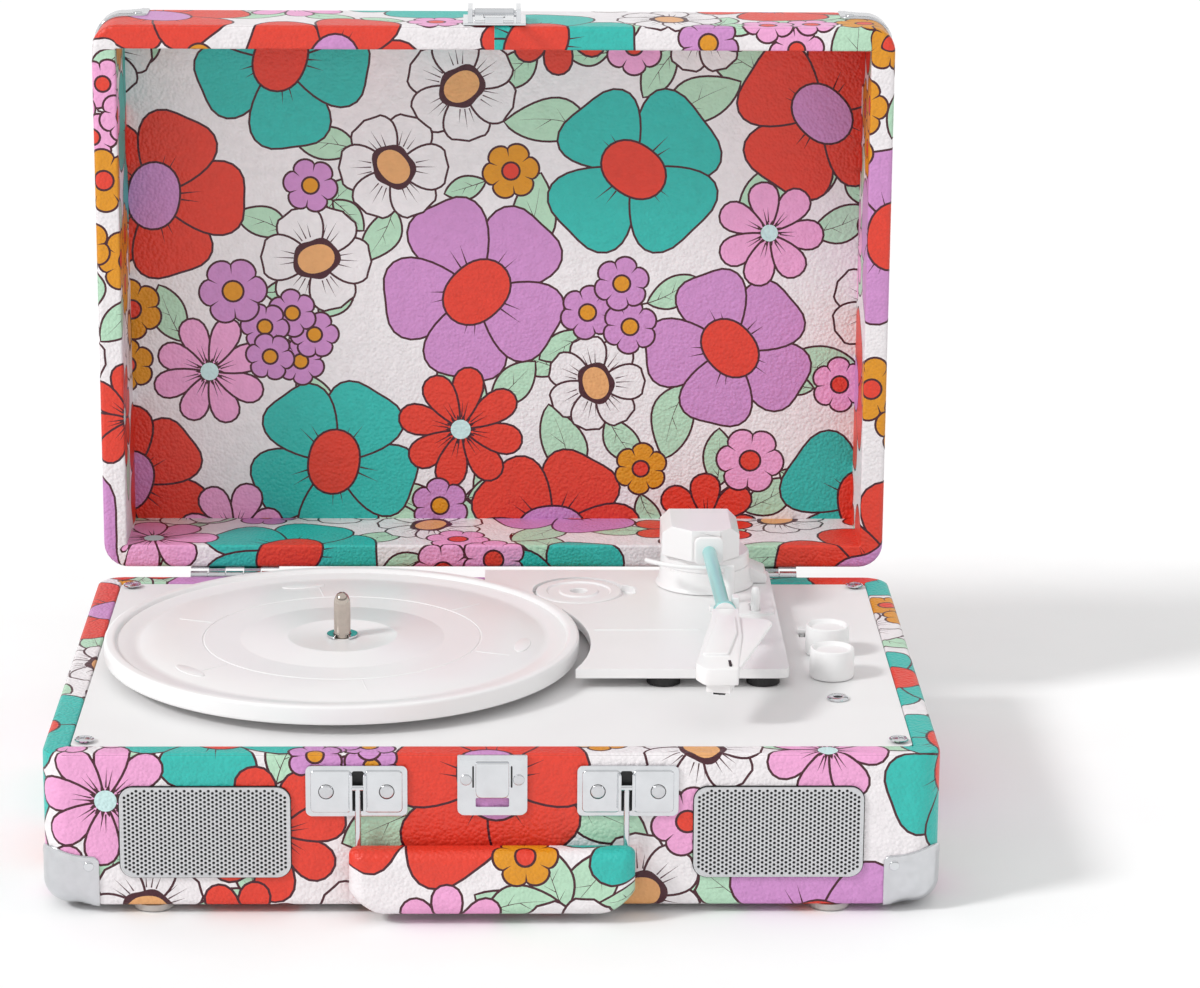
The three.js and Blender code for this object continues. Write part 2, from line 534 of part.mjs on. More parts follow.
// Lid: an open tray standing on edge, with metal caps on the corners of its outer panel.
function lid() {
  const z = LID.footZ + LID.l / 2;
  const back = LID.rimY + LID.depth;
  const tray = cut(
    upright(LID.w, LID.l, LID.r, LID.rimY, back, 0, z),
    upright(LID.w - 2 * LID.wall, LID.l - 2 * LID.wall, 2, LID.rimY - 1, back - LID.panel, 0, z),
  );
  place("lid_shell", "floral", tray);
  CORNERS.forEach(([sx, sy], i) => {
    const cap = cornerCap(LID.w, LID.l, LID.r, sx, sy).rotateX(Math.PI / 2).translate(0, back, z);
    place(`lid_corner_${i + 1}`, "satin", cap);
  });
}

// Lid half of the latch: a plate with two ears, and the hasp that swings between them.
function lidLatch() {
  const top = LID.footZ + LID.l + GAP;
  const pivot = { y: LID.rimY + 5, z: top + 4.7 };
  const ears = [-1, 1].map((e) =>
    box(e * 10.6 - 1, e * 10.6 + 1, pivot.y - 3, pivot.y + 14, top + 0.4, pivot.z + 2.4));
  const bores = rodX(1.8, -14, 14, pivot.y, pivot.z);
  const plate = box(-CATCH.w / 2, CATCH.w / 2, LID.rimY + 1, LID.rimY + 26, top, top + PLATE_T);
  place("lid_latch_plate", "chrome", cut(join(plate, ...ears), bores));
  const strap = box(-8.6, 8.6, pivot.y - 24, pivot.y, pivot.z - 0.6, pivot.z + 0.6);
  const barrel = rodX(2.2, -8.6, 8.6, pivot.y, pivot.z, 14);
  const axle = rodX(1.5, -11.6, 11.6, pivot.y, pivot.z, 12);
  const tab = box(-4, 4, pivot.y - 26, pivot.y - 22, pivot.z - 0.6, pivot.z + 2.2);
  const window = box(-4.6, 4.6, pivot.y - 17, pivot.y - 7, pivot.z - 3, pivot.z + 3);
  place("latch_hasp", "chrome", join(cut(join(strap, tab), window), barrel, axle));
}

// Rear connector plate with two line-out sockets and the low-voltage power inlet.
function rearConnectors() {
  const y = BACK_Y + GAP;
  const plate = upright(REAR_PANEL.w, REAR_PANEL.h, 3, y, y + REAR_PANEL.t, 0, REAR_PANEL.z);
  const sockets = [-18, -4].flatMap((x) => [
    rodY(5, y + 1, y + 3, x, REAR_PANEL.z, 12),
    rodY(4.1, BACK_Y - 14, y + 9, x, REAR_PANEL.z, 12),
  ]);
  const cores = [-18, -4].map((x) => rodY(1.7, y + 2, y + 10, x, REAR_PANEL.z, 10));
  const port = rodY(4.8, y - 1, y + 3, 16, REAR_PANEL.z);
  place("rear_jack_panel", "black", cut(join(plate, ...sockets), ...cores, port));
  const inlet = cut(rodY(4.5, BACK_Y - 12, y + REAR_PANEL.t + 0.6, 16, REAR_PANEL.z),
    rodY(2.8, BACK_Y - 6, y + 4, 16, REAR_PANEL.z));
  place("power_inlet", "black", join(inlet, rodY(1, BACK_Y - 8, y + 0.5, 16, REAR_PANEL.z, 8)));
}

baseCase();
motorBoard();
deckScrews();
feet();
baseCorners();
speakers();
circuitBoard();
drive();
platter();
tonearmPlatform();
tonearmBase();
recordAdapter();
tonearmYoke();
tonearm();
armRest();
cueing();
controls();
frontFittings();
handle();
hinges();
lid();
lidLatch();
rearConnectors();

export default player;
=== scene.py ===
# Looks for the suitcase record player: printed covers, moulded plastic, plated fittings.
# Sizes in the helpers are millimetres in the row frame; objects are made in metres.
import json
import math
import random
from bisect import bisect_right

import bmesh
import bpy
from mathutils import Euler, Matrix, Vector
from mathutils.geometry import delaunay_2d_cdt

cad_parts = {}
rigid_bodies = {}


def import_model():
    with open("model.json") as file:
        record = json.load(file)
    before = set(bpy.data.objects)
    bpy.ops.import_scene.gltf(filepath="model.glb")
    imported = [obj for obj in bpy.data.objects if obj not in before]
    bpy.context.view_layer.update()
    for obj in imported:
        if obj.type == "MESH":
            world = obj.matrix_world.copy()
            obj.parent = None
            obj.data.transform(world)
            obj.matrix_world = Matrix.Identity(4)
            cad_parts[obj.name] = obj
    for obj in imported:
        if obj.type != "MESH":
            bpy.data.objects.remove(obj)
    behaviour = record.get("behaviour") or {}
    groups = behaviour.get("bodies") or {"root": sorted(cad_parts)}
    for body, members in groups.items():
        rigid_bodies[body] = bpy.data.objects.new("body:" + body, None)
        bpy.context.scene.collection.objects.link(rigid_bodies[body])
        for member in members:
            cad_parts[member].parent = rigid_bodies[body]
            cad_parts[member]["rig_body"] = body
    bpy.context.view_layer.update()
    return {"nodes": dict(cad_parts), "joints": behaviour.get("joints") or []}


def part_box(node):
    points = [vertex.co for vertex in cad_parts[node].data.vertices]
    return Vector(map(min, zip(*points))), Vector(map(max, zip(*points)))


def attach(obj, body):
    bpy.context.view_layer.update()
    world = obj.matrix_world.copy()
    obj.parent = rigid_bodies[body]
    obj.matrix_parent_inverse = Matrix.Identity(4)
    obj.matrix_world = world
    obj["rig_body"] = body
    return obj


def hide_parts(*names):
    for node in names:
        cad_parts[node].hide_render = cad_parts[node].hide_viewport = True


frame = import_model()

MM = 0.001
TURN = 2 * math.pi
PRINT_SEED = 11


def in_scene(name, data):
    """A new object of the scene that holds this data."""
    obj = bpy.data.objects.new(name, data)
    bpy.context.scene.collection.objects.link(obj)
    return obj


# ---------------------------------------------------------------- camera, light and floor
def camera():
    data = bpy.data.cameras.new("camera")
    data.lens = 121.83
    data.sensor_width = 36
    data.clip_end = 20
    obj = in_scene("camera", data)
    place = (0.00446, -1.66071, 0.58821)
    pitch, yaw, roll = 0.2668, 0.0245, 0.0076
    aim = Euler((math.pi / 2 - pitch, 0, -yaw)).to_matrix() @ Matrix.Rotation(roll, 3, "Z")
    obj.matrix_world = Matrix.Translation(place) @ aim.to_4x4()
    bpy.context.scene.camera = obj


def sun(place, strength, angle):
    data = bpy.data.lights.new("key", "SUN")
    data.energy = strength
    data.angle = angle
    obj = in_scene("key", data)
    obj.location = place
    obj.rotation_euler = Vector(place).to_track_quat("Z", "Y").to_euler()


def sky():
    """White surroundings with a dark band part way up, for the metal to mirror."""
    world = bpy.data.worlds.new("studio")
    world.use_nodes = True
    nodes, links = world.node_tree.nodes, world.node_tree.links
    split = nodes.new("ShaderNodeSeparateXYZ")
    links.new(nodes.new("ShaderNodeTexCoord").outputs["Generated"], split.inputs["Vector"])
    ramp = nodes.new("ShaderNodeValToRGB")
    white, dark, pale = 1.0, 0.22, 0.86
    stops = [(0, white), (0.3, white), (0.36, dark), (0.46, dark), (0.52, pale), (1, pale)]
    elements = ramp.color_ramp.elements
    for _ in stops[2:]:
        elements.new(0.5)
    for element, (place, level) in zip(elements, stops):
        element.position = place
        element.color = (level, level, level, 1)
    links.new(split.outputs["Z"], ramp.inputs["Fac"])
    background = nodes["Background"]
    background.inputs["Strength"].default_value = 1.0
    links.new(ramp.outputs["Color"], background.inputs["Color"])
    bpy.context.scene.world = world


def studio():
    sky()
    bpy.context.scene.view_settings.view_transform = "Standard"
    sun((-1.9, -0.9, 1.7), 1.5, 0.2)
    mesh = bpy.data.meshes.new("floor")
    half = 6
    corners = [(-half, -half, 0), (half, -half, 0), (half, half, 0), (-half, half, 0)]
    mesh.from_pydata(corners, [], [(0, 1, 2, 3)])
    floor = in_scene("floor", mesh)
    mesh.materials.append(finish("floor_paper", "#fbfbfb", 0.9, 0.01, 60))


# ---------------------------------------------------------------- materials
def linear(code):
    """Linear RGBA of an sRGB hex colour."""
    values = [int(code[i:i + 2], 16) / 255 for i in (1, 3, 5)]
    return [v / 12.92 if v <= 0.04045 else ((v + 0.055) / 1.055) ** 2.4 for v in values] + [1]


def finish(name, colour, roughness, mottle, mottle_size, grain=0.0, grain_size=0.6, depth=0.02,
           metallic=0.0, coat=0.0, cells=False, brushed=None):
    """A node material: mottled colour and roughness, with a fine grain in its bump.

    mottle is the colour's relative variation over mottle_size mm. grain is the bump's strength over
    grain_size mm, and depth its height in mm, from round cells like hide or from noise. brushed
    stretches the grain along an axis."""
    material = bpy.data.materials.new(name)
    material.use_nodes = True
    nodes, links = material.node_tree.nodes, material.node_tree.links
    shader = nodes["Principled BSDF"]
    shader.inputs["Metallic"].default_value = metallic
    shader.inputs["Coat Weight"].default_value = coat
    place = nodes.new("ShaderNodeTexCoord").outputs["Object"]
    patch = nodes.new("ShaderNodeTexNoise")
    patch.inputs["Scale"].default_value = 1000 / mottle_size
    patch.inputs["Detail"].default_value = 4
    links.new(place, patch.inputs["Vector"])
    tint = nodes.new("ShaderNodeValToRGB")
    base = linear(colour)
    for element, gain in zip(tint.color_ramp.elements, (1 - mottle, 1 + mottle)):
        element.color = [min(1, c * gain) for c in base[:3]] + [1]
    tint.color_ramp.elements[0].position = 0.35
    tint.color_ramp.elements[1].position = 0.65
    links.new(patch.outputs["Fac"], tint.inputs["Fac"])
    links.new(tint.outputs["Color"], shader.inputs["Base Color"])
    gloss = nodes.new("ShaderNodeMapRange")
    gloss.inputs["To Min"].default_value = roughness * 0.85
    gloss.inputs["To Max"].default_value = min(1, roughness * 1.15)
    links.new(patch.outputs["Fac"], gloss.inputs["Value"])
    links.new(gloss.outputs["Result"], shader.inputs["Roughness"])
    if grain:
        texture = nodes.new("ShaderNodeTexVoronoi" if cells else "ShaderNodeTexNoise")
        texture.inputs["Scale"].default_value = 1000 / grain_size
        stretch = nodes.new("ShaderNodeMapping")
        stretch.inputs["Scale"].default_value = brushed or (1, 1, 1)
        links.new(place, stretch.inputs["Vector"])
        links.new(stretch.outputs["Vector"], texture.inputs["Vector"])
        height = texture.outputs["Distance" if cells else "Fac"]
        bump = nodes.new("ShaderNodeBump")
        bump.inputs["Strength"].default_value = grain
        bump.inputs["Distance"].default_value = depth * MM
        bump.invert = cells
        links.new(height, bump.inputs["Height"])
        links.new(bump.outputs["Normal"], shader.inputs["Normal"])
    return material


def leatherette(name, colour):
    return finish(f"leatherette_{name}", colour, 0.4, 0.035, 5, 1.0, 1.45, 0.36, cells=True)


PRINT_COLOURS = {"ground": "#ebe6e8", "ink": "#430f1e", "teal": "#2cb7ad", "red": "#df3a26",
                 "lilac": "#cb8cc6", "pink": "#eba3d0", "mustard": "#db910d", "peach": "#e3a66b",
                 "mint": "#b4d9bd", "ice": "#c8e6e5"}
PRINT = {name: leatherette(name, colour) for name, colour in PRINT_COLOURS.items()}
WHITE = finish("white_moulding", "#f0efef", 0.3, 0.006, 25, 0.1, 0.5)
DECK_WHITE = finish("deck_texture", "#ecebeb", 0.55, 0.006, 30, 0.35, 0.7, 0.05)
AQUA = finish("aqua_paint", "#93d0ce", 0.3, 0.02, 8, 0.08, 0.4, coat=0.3)
CHROME = finish("chrome", "#d9dbde", 0.1, 0.03, 6, 0.06, 0.5, metallic=1)
NICKEL = finish("satin_nickel", "#d0d1d4", 0.22, 0.04, 4, 0.06, 0.35, metallic=1, brushed=(1, 1, 0.12))
STEEL = finish("turned_steel", "#c3b8ae", 0.16, 0.05, 3, 0.1, 0.3, metallic=1, brushed=(0.1, 0.1, 2))
GRILLE_METAL = finish("grille_metal", "#cfd0d2", 0.36, 0.03, 3, 0.12, 0.3, metallic=0.85)
RUBBER = finish("rubber", "#1b1b1c", 0.8, 0.15, 4, 0.3, 0.5)
BLACK = finish("black_plastic", "#131314", 0.5, 0.12, 5, 0.2, 0.4)
FOOT_PLASTIC = finish("foot_plastic", "#b9b4b0", 0.5, 0.02, 5, 0.2, 0.5)
FIBREBOARD = finish("fibreboard", "#5a4a3c", 0.85, 0.15, 2, 0.6, 0.4, 0.08)
SOLDER_MASK = finish("solder_mask", "#2c5a38", 0.45, 0.12, 3, 0.15)
BRASS = finish("brass", "#b98b45", 0.3, 0.05, 3, 0.1, metallic=1)


# ---------------------------------------------------------------- mesh helpers
def box_mm(node):
    """Low corner, high corner and middle of a node's box."""
    low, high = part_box(node)
    low, high = low / MM, high / MM
    return low, high, (low + high) / 2


def to_object(name, points, faces, materials, picks=None):
    mesh = bpy.data.meshes.new(name)
    mesh.from_pydata([Vector(p) * MM for p in points], [], faces)
    for material in materials:
        mesh.materials.append(material)
    if picks:
        mesh.polygons.foreach_set("material_index", picks)
    mesh.update()
    return in_scene(name, mesh)


def settle(obj, body, slot, *nodes):
    """The piece rides on a body and stands for the nodes named, which are hidden; slot is not used."""
    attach(obj, body)
    if nodes:
        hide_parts(*nodes)
    return obj


def evaluated_mesh(obj):
    """A mesh of the object as its curve or its modifiers make it."""
    bpy.context.view_layer.update()
    graph = bpy.context.evaluated_depsgraph_get()
    return bpy.data.meshes.new_from_object(obj.evaluated_get(graph))


def apply_modifiers(obj):
    mesh = evaluated_mesh(obj)
    obj.modifiers.clear()
    obj.data = mesh


def smooth(obj, angle=35):
    obj.data.shade_smooth()
    obj.data.set_sharp_from_angle(angle=math.radians(angle))


def soften(obj, width, segments=2, angle=35):
    """Rounds the piece's sharp edges by width mm, and shades it smooth with its flat faces kept flat."""
    obj.data.shade_smooth()
    bevel = obj.modifiers.new("edges", "BEVEL")
    bevel.width = width * MM
    bevel.segments = segments
    bevel.limit_method = "ANGLE"
    bevel.angle_limit = math.radians(angle)
    bevel.use_clamp_overlap = True
    bevel.miter_outer = "MITER_ARC"
    even = obj.modifiers.new("even", "WEIGHTED_NORMAL")
    even.weight = 80
    apply_modifiers(obj)
    return obj


def carve(obj, *cutters):
    """Cuts the other objects out of this one and deletes them."""
    for cutter in cutters:
        boolean = obj.modifiers.new("cut", "BOOLEAN")
        boolean.object = cutter
        boolean.operation = "DIFFERENCE"
        boolean.solver = "EXACT"
        apply_modifiers(obj)
        bpy.data.objects.remove(cutter)
    return obj


def merge(name, *objects):
    """One object holding several closed meshes, with their materials."""
    points, faces, materials, picks = [], [], [], []
    for obj in objects:
        start = len(points)
        points += [obj.matrix_world @ v.co / MM for v in obj.data.vertices]
        slots = []
        for material in obj.data.materials:
            if material not in materials:
                materials.append(material)
            slots.append(materials.index(material))
        for face in obj.data.polygons:
            faces.append([start + i for i in face.vertices])
            picks.append(slots[face.material_index])
        bpy.data.objects.remove(obj)
    joined = to_object(name, points, faces, materials, picks)
    smooth(joined)
    return joined


def fillet(points, radius, steps=4, closed=False):
    """The corners of a polyline, of 2-D or 3-D points, rounded by a radius or a radius for each point."""
    points = [Vector(p) for p in points]
    count = len(points)
    radii = radius if isinstance(radius, (list, tuple)) else [radius] * count
    result = []
    for i, point in enumerate(points):
        if (not closed and i in (0, count - 1)) or radii[i] <= 0:
            result.append(point)
            continue
        back, ahead = points[i - 1] - point, points[(i + 1) % count] - point
        half = back.angle(ahead) / 2
        reach = min(radii[i] / max(math.tan(half), 1e-6), back.length * 0.49, ahead.length * 0.49)
        start, end = point + back.normalized() * reach, point + ahead.normalized() * reach
        for k in range(steps + 1):
            t = k / steps
            result.append(start * (1 - t) ** 2 + point * 2 * t * (1 - t) + end * t ** 2)
    return result


def rounded_rect(w, h, r, steps=8, x=0, y=0):
    """Outline of a rectangle with round corners, anticlockwise from its right side."""
    points = []
    for cx, cy, start in ((1, 1, 0), (-1, 1, 1), (-1, -1, 2), (1, -1, 3)):
        for k in range(steps + 1):
            a = (start + k / steps) * math.pi / 2
            points.append((x + cx * (w / 2 - r) + r * math.cos(a), y + cy * (h / 2 - r) + r * math.sin(a)))
    return points


def circle(r, steps=32, x=0, y=0):
    return [(x + r * math.cos(TURN * k / steps), y + r * math.sin(TURN * k / steps)) for k in range(steps)]


UP_Z = Matrix(((1, 0, 0), (0, 1, 0), (0, 0, 1)))
UP_Y = Matrix(((1, 0, 0), (0, 0, -1), (0, 1, 0)))  # plan x, y -> x, z; height -> -y


def sealed(faces, count):
    """Faces of a closed plate, from those of its front: its back has the points that come count later.

    Also gives the number of the front face that each face of the rim borders."""
    sides = {(a, b): k for k, face in enumerate(faces) for a, b in zip(face, face[1:] + face[:1])}
    rims = [(a, b, k) for (a, b), k in sides.items() if (b, a) not in sides]
    back = [[i + count for i in reversed(face)] for face in faces]
    return faces + back + [[b, a, a + count, b + count] for a, b, _ in rims], [k for *_, k in rims]


def prism(name, outline, low, high, material, bevel=0.0, turn=UP_Z, at=(0, 0, 0), holes=(), segments=2):
    """Closed plate of a 2-D outline between two heights, turned and moved into place."""
    flat, loops = [], []
    for ring in (outline, *holes):
        loops.append(list(range(len(flat), len(flat) + len(ring))))
        flat += [Vector((p[0], p[1])) for p in ring]
    if holes:
        points, _, cells, _, _, origins = delaunay_2d_cdt(flat, [], loops, 1, 1e-5, True)
        cells = [c for c, ids in zip(cells, origins) if ids == [0]]
    else:
        points, cells = flat, loops
    at = Vector(at)
    solid = [turn @ Vector((p.x, p.y, z)) + at for z in (low, high) for p in points]
    faces, _ = sealed([list(reversed(c)) for c in cells], len(points))
    obj = to_object(name, solid, faces, [material])
    if bevel:
        soften(obj, bevel, segments)
    else:
        smooth(obj)
    return obj


def lathe(name, profile, at, material, steps=64, turn=UP_Z):
    """Solid of revolution from (radius, height) pairs: closed on the axis, or a ring."""
    tiny = 1e-6
    points, faces, rings = [], [], []
    at = Vector(at)
    for r, z in profile:
        first = len(points)
        if r < tiny:
            points.append(turn @ Vector((0, 0, z)) + at)
            rings.append([first] * steps)
        else:
            for k in range(steps):
                a = TURN * k / steps
                points.append(turn @ Vector((r * math.cos(a), r * math.sin(a), z)) + at)
            rings.append(list(range(first, first + steps)))
    pairs = list(zip(rings, rings[1:]))
    if profile[0][0] >= tiny or profile[-1][0] >= tiny:
        pairs.append((rings[-1], rings[0]))
    for low, high in pairs:
        for k in range(steps):
            corners = [low[k], low[(k + 1) % steps], high[(k + 1) % steps], high[k]]
            corners = [c for i, c in enumerate(corners) if c not in corners[:i]]
            if len(corners) > 2:
                faces.append(corners)
    obj = to_object(name, points, faces, [material])
    smooth(obj)
    return obj


def rod(name, path, radius, material, sides=16):
    """Round wire along 3-D points, with closed ends."""
    curve = bpy.data.curves.new(name, "CURVE")
    curve.dimensions = "3D"
    curve.bevel_depth = radius * MM
    curve.bevel_resolution = sides // 4
    curve.use_fill_caps = True
    spline = curve.splines.new("POLY")
    spline.points.add(len(path) - 1)
    for point, place in zip(spline.points, path):
        point.co = [*(Vector(place) * MM), 1]
    holder = in_scene(name, curve)
    mesh = evaluated_mesh(holder)
    bpy.data.objects.remove(holder)
    mesh.materials.clear()
    mesh.materials.append(material)
    obj = in_scene(name, mesh)
    smooth(obj)
    return obj


def body_of(node):
    return frame["nodes"][node]["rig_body"]


def stands_for(node, obj, slot):
    return settle(obj, body_of(node), slot, node)


def aimed(direction):
    """Matrix that turns a piece built along Z to a direction."""
    return Vector(direction).to_track_quat("Z", "Y").to_matrix()


def refined(node, material, slot, width=0.3, segments=2):
    """The node's own form with its flat faces merged and its edges rounded."""
    same_place, flat_angle = 1e-5, math.radians(1.5)
    work = bmesh.new()
    work.from_mesh(frame["nodes"][node].data)
    bmesh.ops.remove_doubles(work, verts=work.verts, dist=same_place)
    bmesh.ops.dissolve_limit(work, angle_limit=flat_angle, verts=work.verts, edges=work.edges)
    mesh = bpy.data.meshes.new(f"{node}_look")
    work.to_mesh(mesh)
    work.free()
    if "custom_normal" in mesh.attributes:
        mesh.attributes.remove(mesh.attributes["custom_normal"])
    mesh.materials.clear()
    mesh.materials.append(material)
    mesh.polygons.foreach_set("material_index", [0] * len(mesh.polygons))
    obj = soften(in_scene(f"{node}_look", mesh), width, segments)
    return stands_for(node, obj, slot)


def repaint(obj, material, belongs):
    """Another material on the faces whose middle, in mm, belongs."""
    obj.data.materials.append(material)
    for face in obj.data.polygons:
        if belongs(face.center / MM):
            face.material_index = len(obj.data.materials) - 1


def loft(name, rings, material):
    """Closed solid through rings of equal point counts, capped at both ends."""
    size = len(rings[0])
    points = [p for ring in rings for p in ring]
    faces = [list(reversed(range(size))), [len(points) - size + i for i in range(size)]]
    for k in range(len(rings) - 1):
        for i in range(size):
            a, b = k * size + i, k * size + (i + 1) % size
            faces.append([a, b, b + size, a + size])
    return to_object(name, points, faces, [material])


def dome(name, r, height, at, direction, material, lip=0.25):
    """Rivet head: a low dome on a short cylinder."""
    steps = 6
    profile = [(0, -0.4), (r, -0.4), (r, lip)]
    profile += [(r * math.cos(a), lip + (height - lip) * math.sin(a))
                for a in (math.pi / 2 * k / steps for k in range(1, steps))]
    return lathe(name, profile + [(0, height)], at, material, 24, aimed(direction))


# ---------------------------------------------------------------- the floral print, as drawn layers
INK_LINE = 0.5  # half the width of a drawn outline


def grown(outline, by):
    """A closed outline moved outwards by a distance."""
    result = []
    for i, (x, y) in enumerate(outline):
        before, after = outline[i - 1], outline[(i + 1) % len(outline)]
        dx, dy = after[0] - before[0], after[1] - before[1]
        length = math.hypot(dx, dy) or 1
        result.append((x + dy / length * by, y - dx / length * by))
    return result


def inked(outline, colour):
    return [(grown(outline, INK_LINE), "ink"), (grown(outline, -INK_LINE), colour)]


def polar(x, y, radius, steps, turn=0.0):
    """Closed outline from a radius that depends on the angle."""
    points = []
    for k in range(steps):
        a = TURN * k / steps
        r = radius(a)
        points.append((x + r * math.cos(a + turn), y + r * math.sin(a + turn)))
    return points


def turned(x, y, turn, points):
    """Points turned about the origin and moved to x, y."""
    c, s = math.cos(turn), math.sin(turn)
    return [(x + px * c - py * s, y + px * s + py * c) for px, py in points]


def petal(x, y, turn, start, length, width, taper=0.35, dent=0.0, ruffle=0.0, steps=20):
    """A petal along a ray from x, y, narrower at its root, with a dent or a ruffle at its tip."""
    points = []
    for k in range(steps):
        a = TURN * k / steps
        along = 0.5 + 0.5 * math.cos(a)
        tip = min(a, TURN - a)
        px = start + length * (along - dent * math.exp(-(tip / 0.4) ** 2))
        px += ruffle * length * math.cos(9 * tip) * math.exp(-(tip / 1.1) ** 2)
        points.append((px, width / 2 * math.sin(a) * (taper + (1 - taper) * along)))
    return turned(x, y, turn, points)


def stroke(x, y, turn, start, end, width):
    """A pen stroke along a ray from a flower's middle, thick at its start and pointed at its end."""
    return turned(x, y, turn, [(start, -width / 2), (end, 0), (start, width / 2)])


def spokes(rng, count, jitter):
    """Directions of a flower's petals, from a random start, each a little off its even place."""
    turn = rng.uniform(0, TURN)
    for k in range(count):
        yield turn + TURN * (k + rng.uniform(-jitter, jitter)) / count


def daisy(rng, x, y, r, colour, heart):
    petals = rng.choice((7, 8, 8))
    width = 1.5 * r * math.sin(TURN / 2 / petals) * 1.18
    layers = []
    for a in spokes(rng, petals, 0.08):
        layers += inked(petal(x, y, a, 0.08 * r, r * rng.uniform(0.86, 0.96), width), colour)
        for lean in (-0.09, 0.09):
            layers.append((stroke(x, y, a + lean, 0.2 * r, 0.5 * r, 0.7), "ink"))
    spikes = polar(x, y, lambda a: r * (0.2 + 0.05 * math.cos(14 * a)), 56)
    return layers + [(spikes, "ink"), (polar(x, y, lambda a: 0.16 * r, 20), heart)]


def blossom(rng, x, y, r, colour, heart):
    lobes = rng.choice((4, 5, 5))
    layers = []
    for a in spokes(rng, lobes, 0.06):
        width = 1.82 * r * math.sin(TURN / 2 / lobes) * rng.uniform(1.0, 1.12)
        length = r * rng.uniform(0.86, 0.98)
        outline = petal(x, y, a, 0.06 * r, length, width, taper=0.42, dent=0.055, steps=28)
        layers += inked(outline, colour)
        for lean in (-0.1, 0.13):
            layers.append((stroke(x, y, a + lean, 0.3 * r, r * rng.uniform(0.44, 0.56), 0.8), "ink"))
    squash = rng.uniform(0, TURN)
    heart_line = polar(x, y, lambda a: r * (0.33 + 0.045 * math.cos(2 * (a - squash))), 30)
    return layers + inked(heart_line, heart)


def ruffled(rng, x, y, r, colour, heart):
    petals = rng.choice((6, 7))
    width = 1.75 * r * math.sin(TURN / 2 / petals) * 1.2
    layers = []
    for a in spokes(rng, petals, 0.05):
        outline = petal(x, y, a, 0.1 * r, 0.88 * r, width, taper=0.5, dent=0.03, ruffle=0.022, steps=30)
        layers += inked(outline, colour)
        for lean, reach in ((-0.2, 0.66), (0.0, 0.78), (0.2, 0.68)):
            layers.append((stroke(x, y, a + lean, 0.4 * r, reach * r, 0.6), "ink"))
    wobble = rng.uniform(0, TURN)
    ring = polar(x, y, lambda a: r * (0.39 + 0.035 * math.cos(2 * a - wobble) + 0.02 * math.cos(5 * a)), 36)
    eye = polar(x, y, lambda a: r * (0.29 + 0.04 * math.cos(2 * a - wobble)), 30)
    return layers + [(ring, "ink"), (eye, heart)]


def button(rng, x, y, r, colour, heart):
    turn = rng.uniform(0, TURN)
    lobes = 6
    outline = polar(x, y, lambda a: r * (0.8 + 0.2 * abs(math.cos(lobes * a / 2)) ** 0.7), 60, turn)
    layers = inked(outline, colour)
    for k in range(lobes):
        layers.append((stroke(x, y, turn + TURN * (k + 0.5) / lobes, 0.8 * r, 0.5 * r, 0.9), "ink"))
    return layers + inked(polar(x, y, lambda a: 0.31 * r, 20), heart)


def cluster(rng, x, y, r, colour, heart):
    """A bunch of three to five small blossoms."""
    count = rng.choice((3, 4, 5))
    turn = rng.uniform(0, TURN)
    size = r * (0.52 if count > 3 else 0.6)
    layers = []
    for k in range(count):
        a = turn + TURN * k / count
        layers += button(rng, x + 0.56 * r * math.cos(a), y + 0.56 * r * math.sin(a), size, colour, heart)
    return layers


def leaf(rng, x, y, turn, length):
    """A leaf with its midrib, three side veins and a stalk that starts at x, y."""
    layers = []
    c, s = math.cos(turn), math.sin(turn)
    bow = rng.uniform(-0.16, 0.16) * length

    def at(t, across):
        px, py = length * t, bow * math.sin(math.pi * t) + across
        return (x + px * c - py * s, y + px * s + py * c)

    stalk = 0.38
    steps = 12
    half = [0.17 * length * math.sin(math.pi * k / steps) ** 0.8 for k in range(steps + 1)]
    span = [stalk + (1 - stalk) * k / steps for k in range(steps + 1)]
    upper = [at(t, w) for t, w in zip(span, half)]
    lower = [at(t, -w) for t, w in zip(span, half)][1:-1]
    thin = 0.45
    stem = [at(k * stalk / 6, -thin) for k in range(7)] + [at(k * stalk / 6, thin) for k in range(6, -1, -1)]
    layers.append((stem, "ink"))
    layers += inked([upper[0]] + lower + [upper[-1]] + upper[-2:0:-1], "mint")
    rib = [at(t, -0.4 * (1 - t)) for t in span[:-2]] + [at(t, 0.4 * (1 - t)) for t in reversed(span[:-2])]
    layers.append((rib, "ink"))
    for t, side in ((0.5, 1), (0.58, -1), (0.68, 1)):
        root, tip = at(t, 0), at(t + 0.1, side * 0.09 * length)
        layers.append(([root, (root[0] + 0.5 * c, root[1] + 0.5 * s), tip], "ink"))
    return layers


# Petal colour and heart colour of the flowers.
BOLD = [("teal", "red"), ("lilac", "red"), ("red", "lilac"), ("teal", "red"), ("red", "lilac")]
SMALL = [("pink", "red"), ("mustard", "red"), ("lilac", "mustard"), ("mustard", "red"), ("pink", "red")]
# Each kind of flower: how it is drawn, its colours, its least and greatest radius, and the area for each.
KINDS = [
    (blossom, BOLD, (38, 48), 9000),
    (ruffled, [("ground", "peach")], (23, 28), 12500),
    (daisy, [("red", "ice"), ("pink", "ice"), ("red", "ice")], (24, 30), 8500),
    (cluster, SMALL, (20, 26), 5600),
    (button, SMALL, (12, 16), 4200),
]
BLEED = 15  # how far past the sheet's edge a flower's middle may lie
TRIES = 60  # places tried for each flower
ROOM_ENOUGH = 2  # room round a flower at which no better place is looked for
OVERLAP = 0.4  # how far a flower may lie over others, as a share of its radius


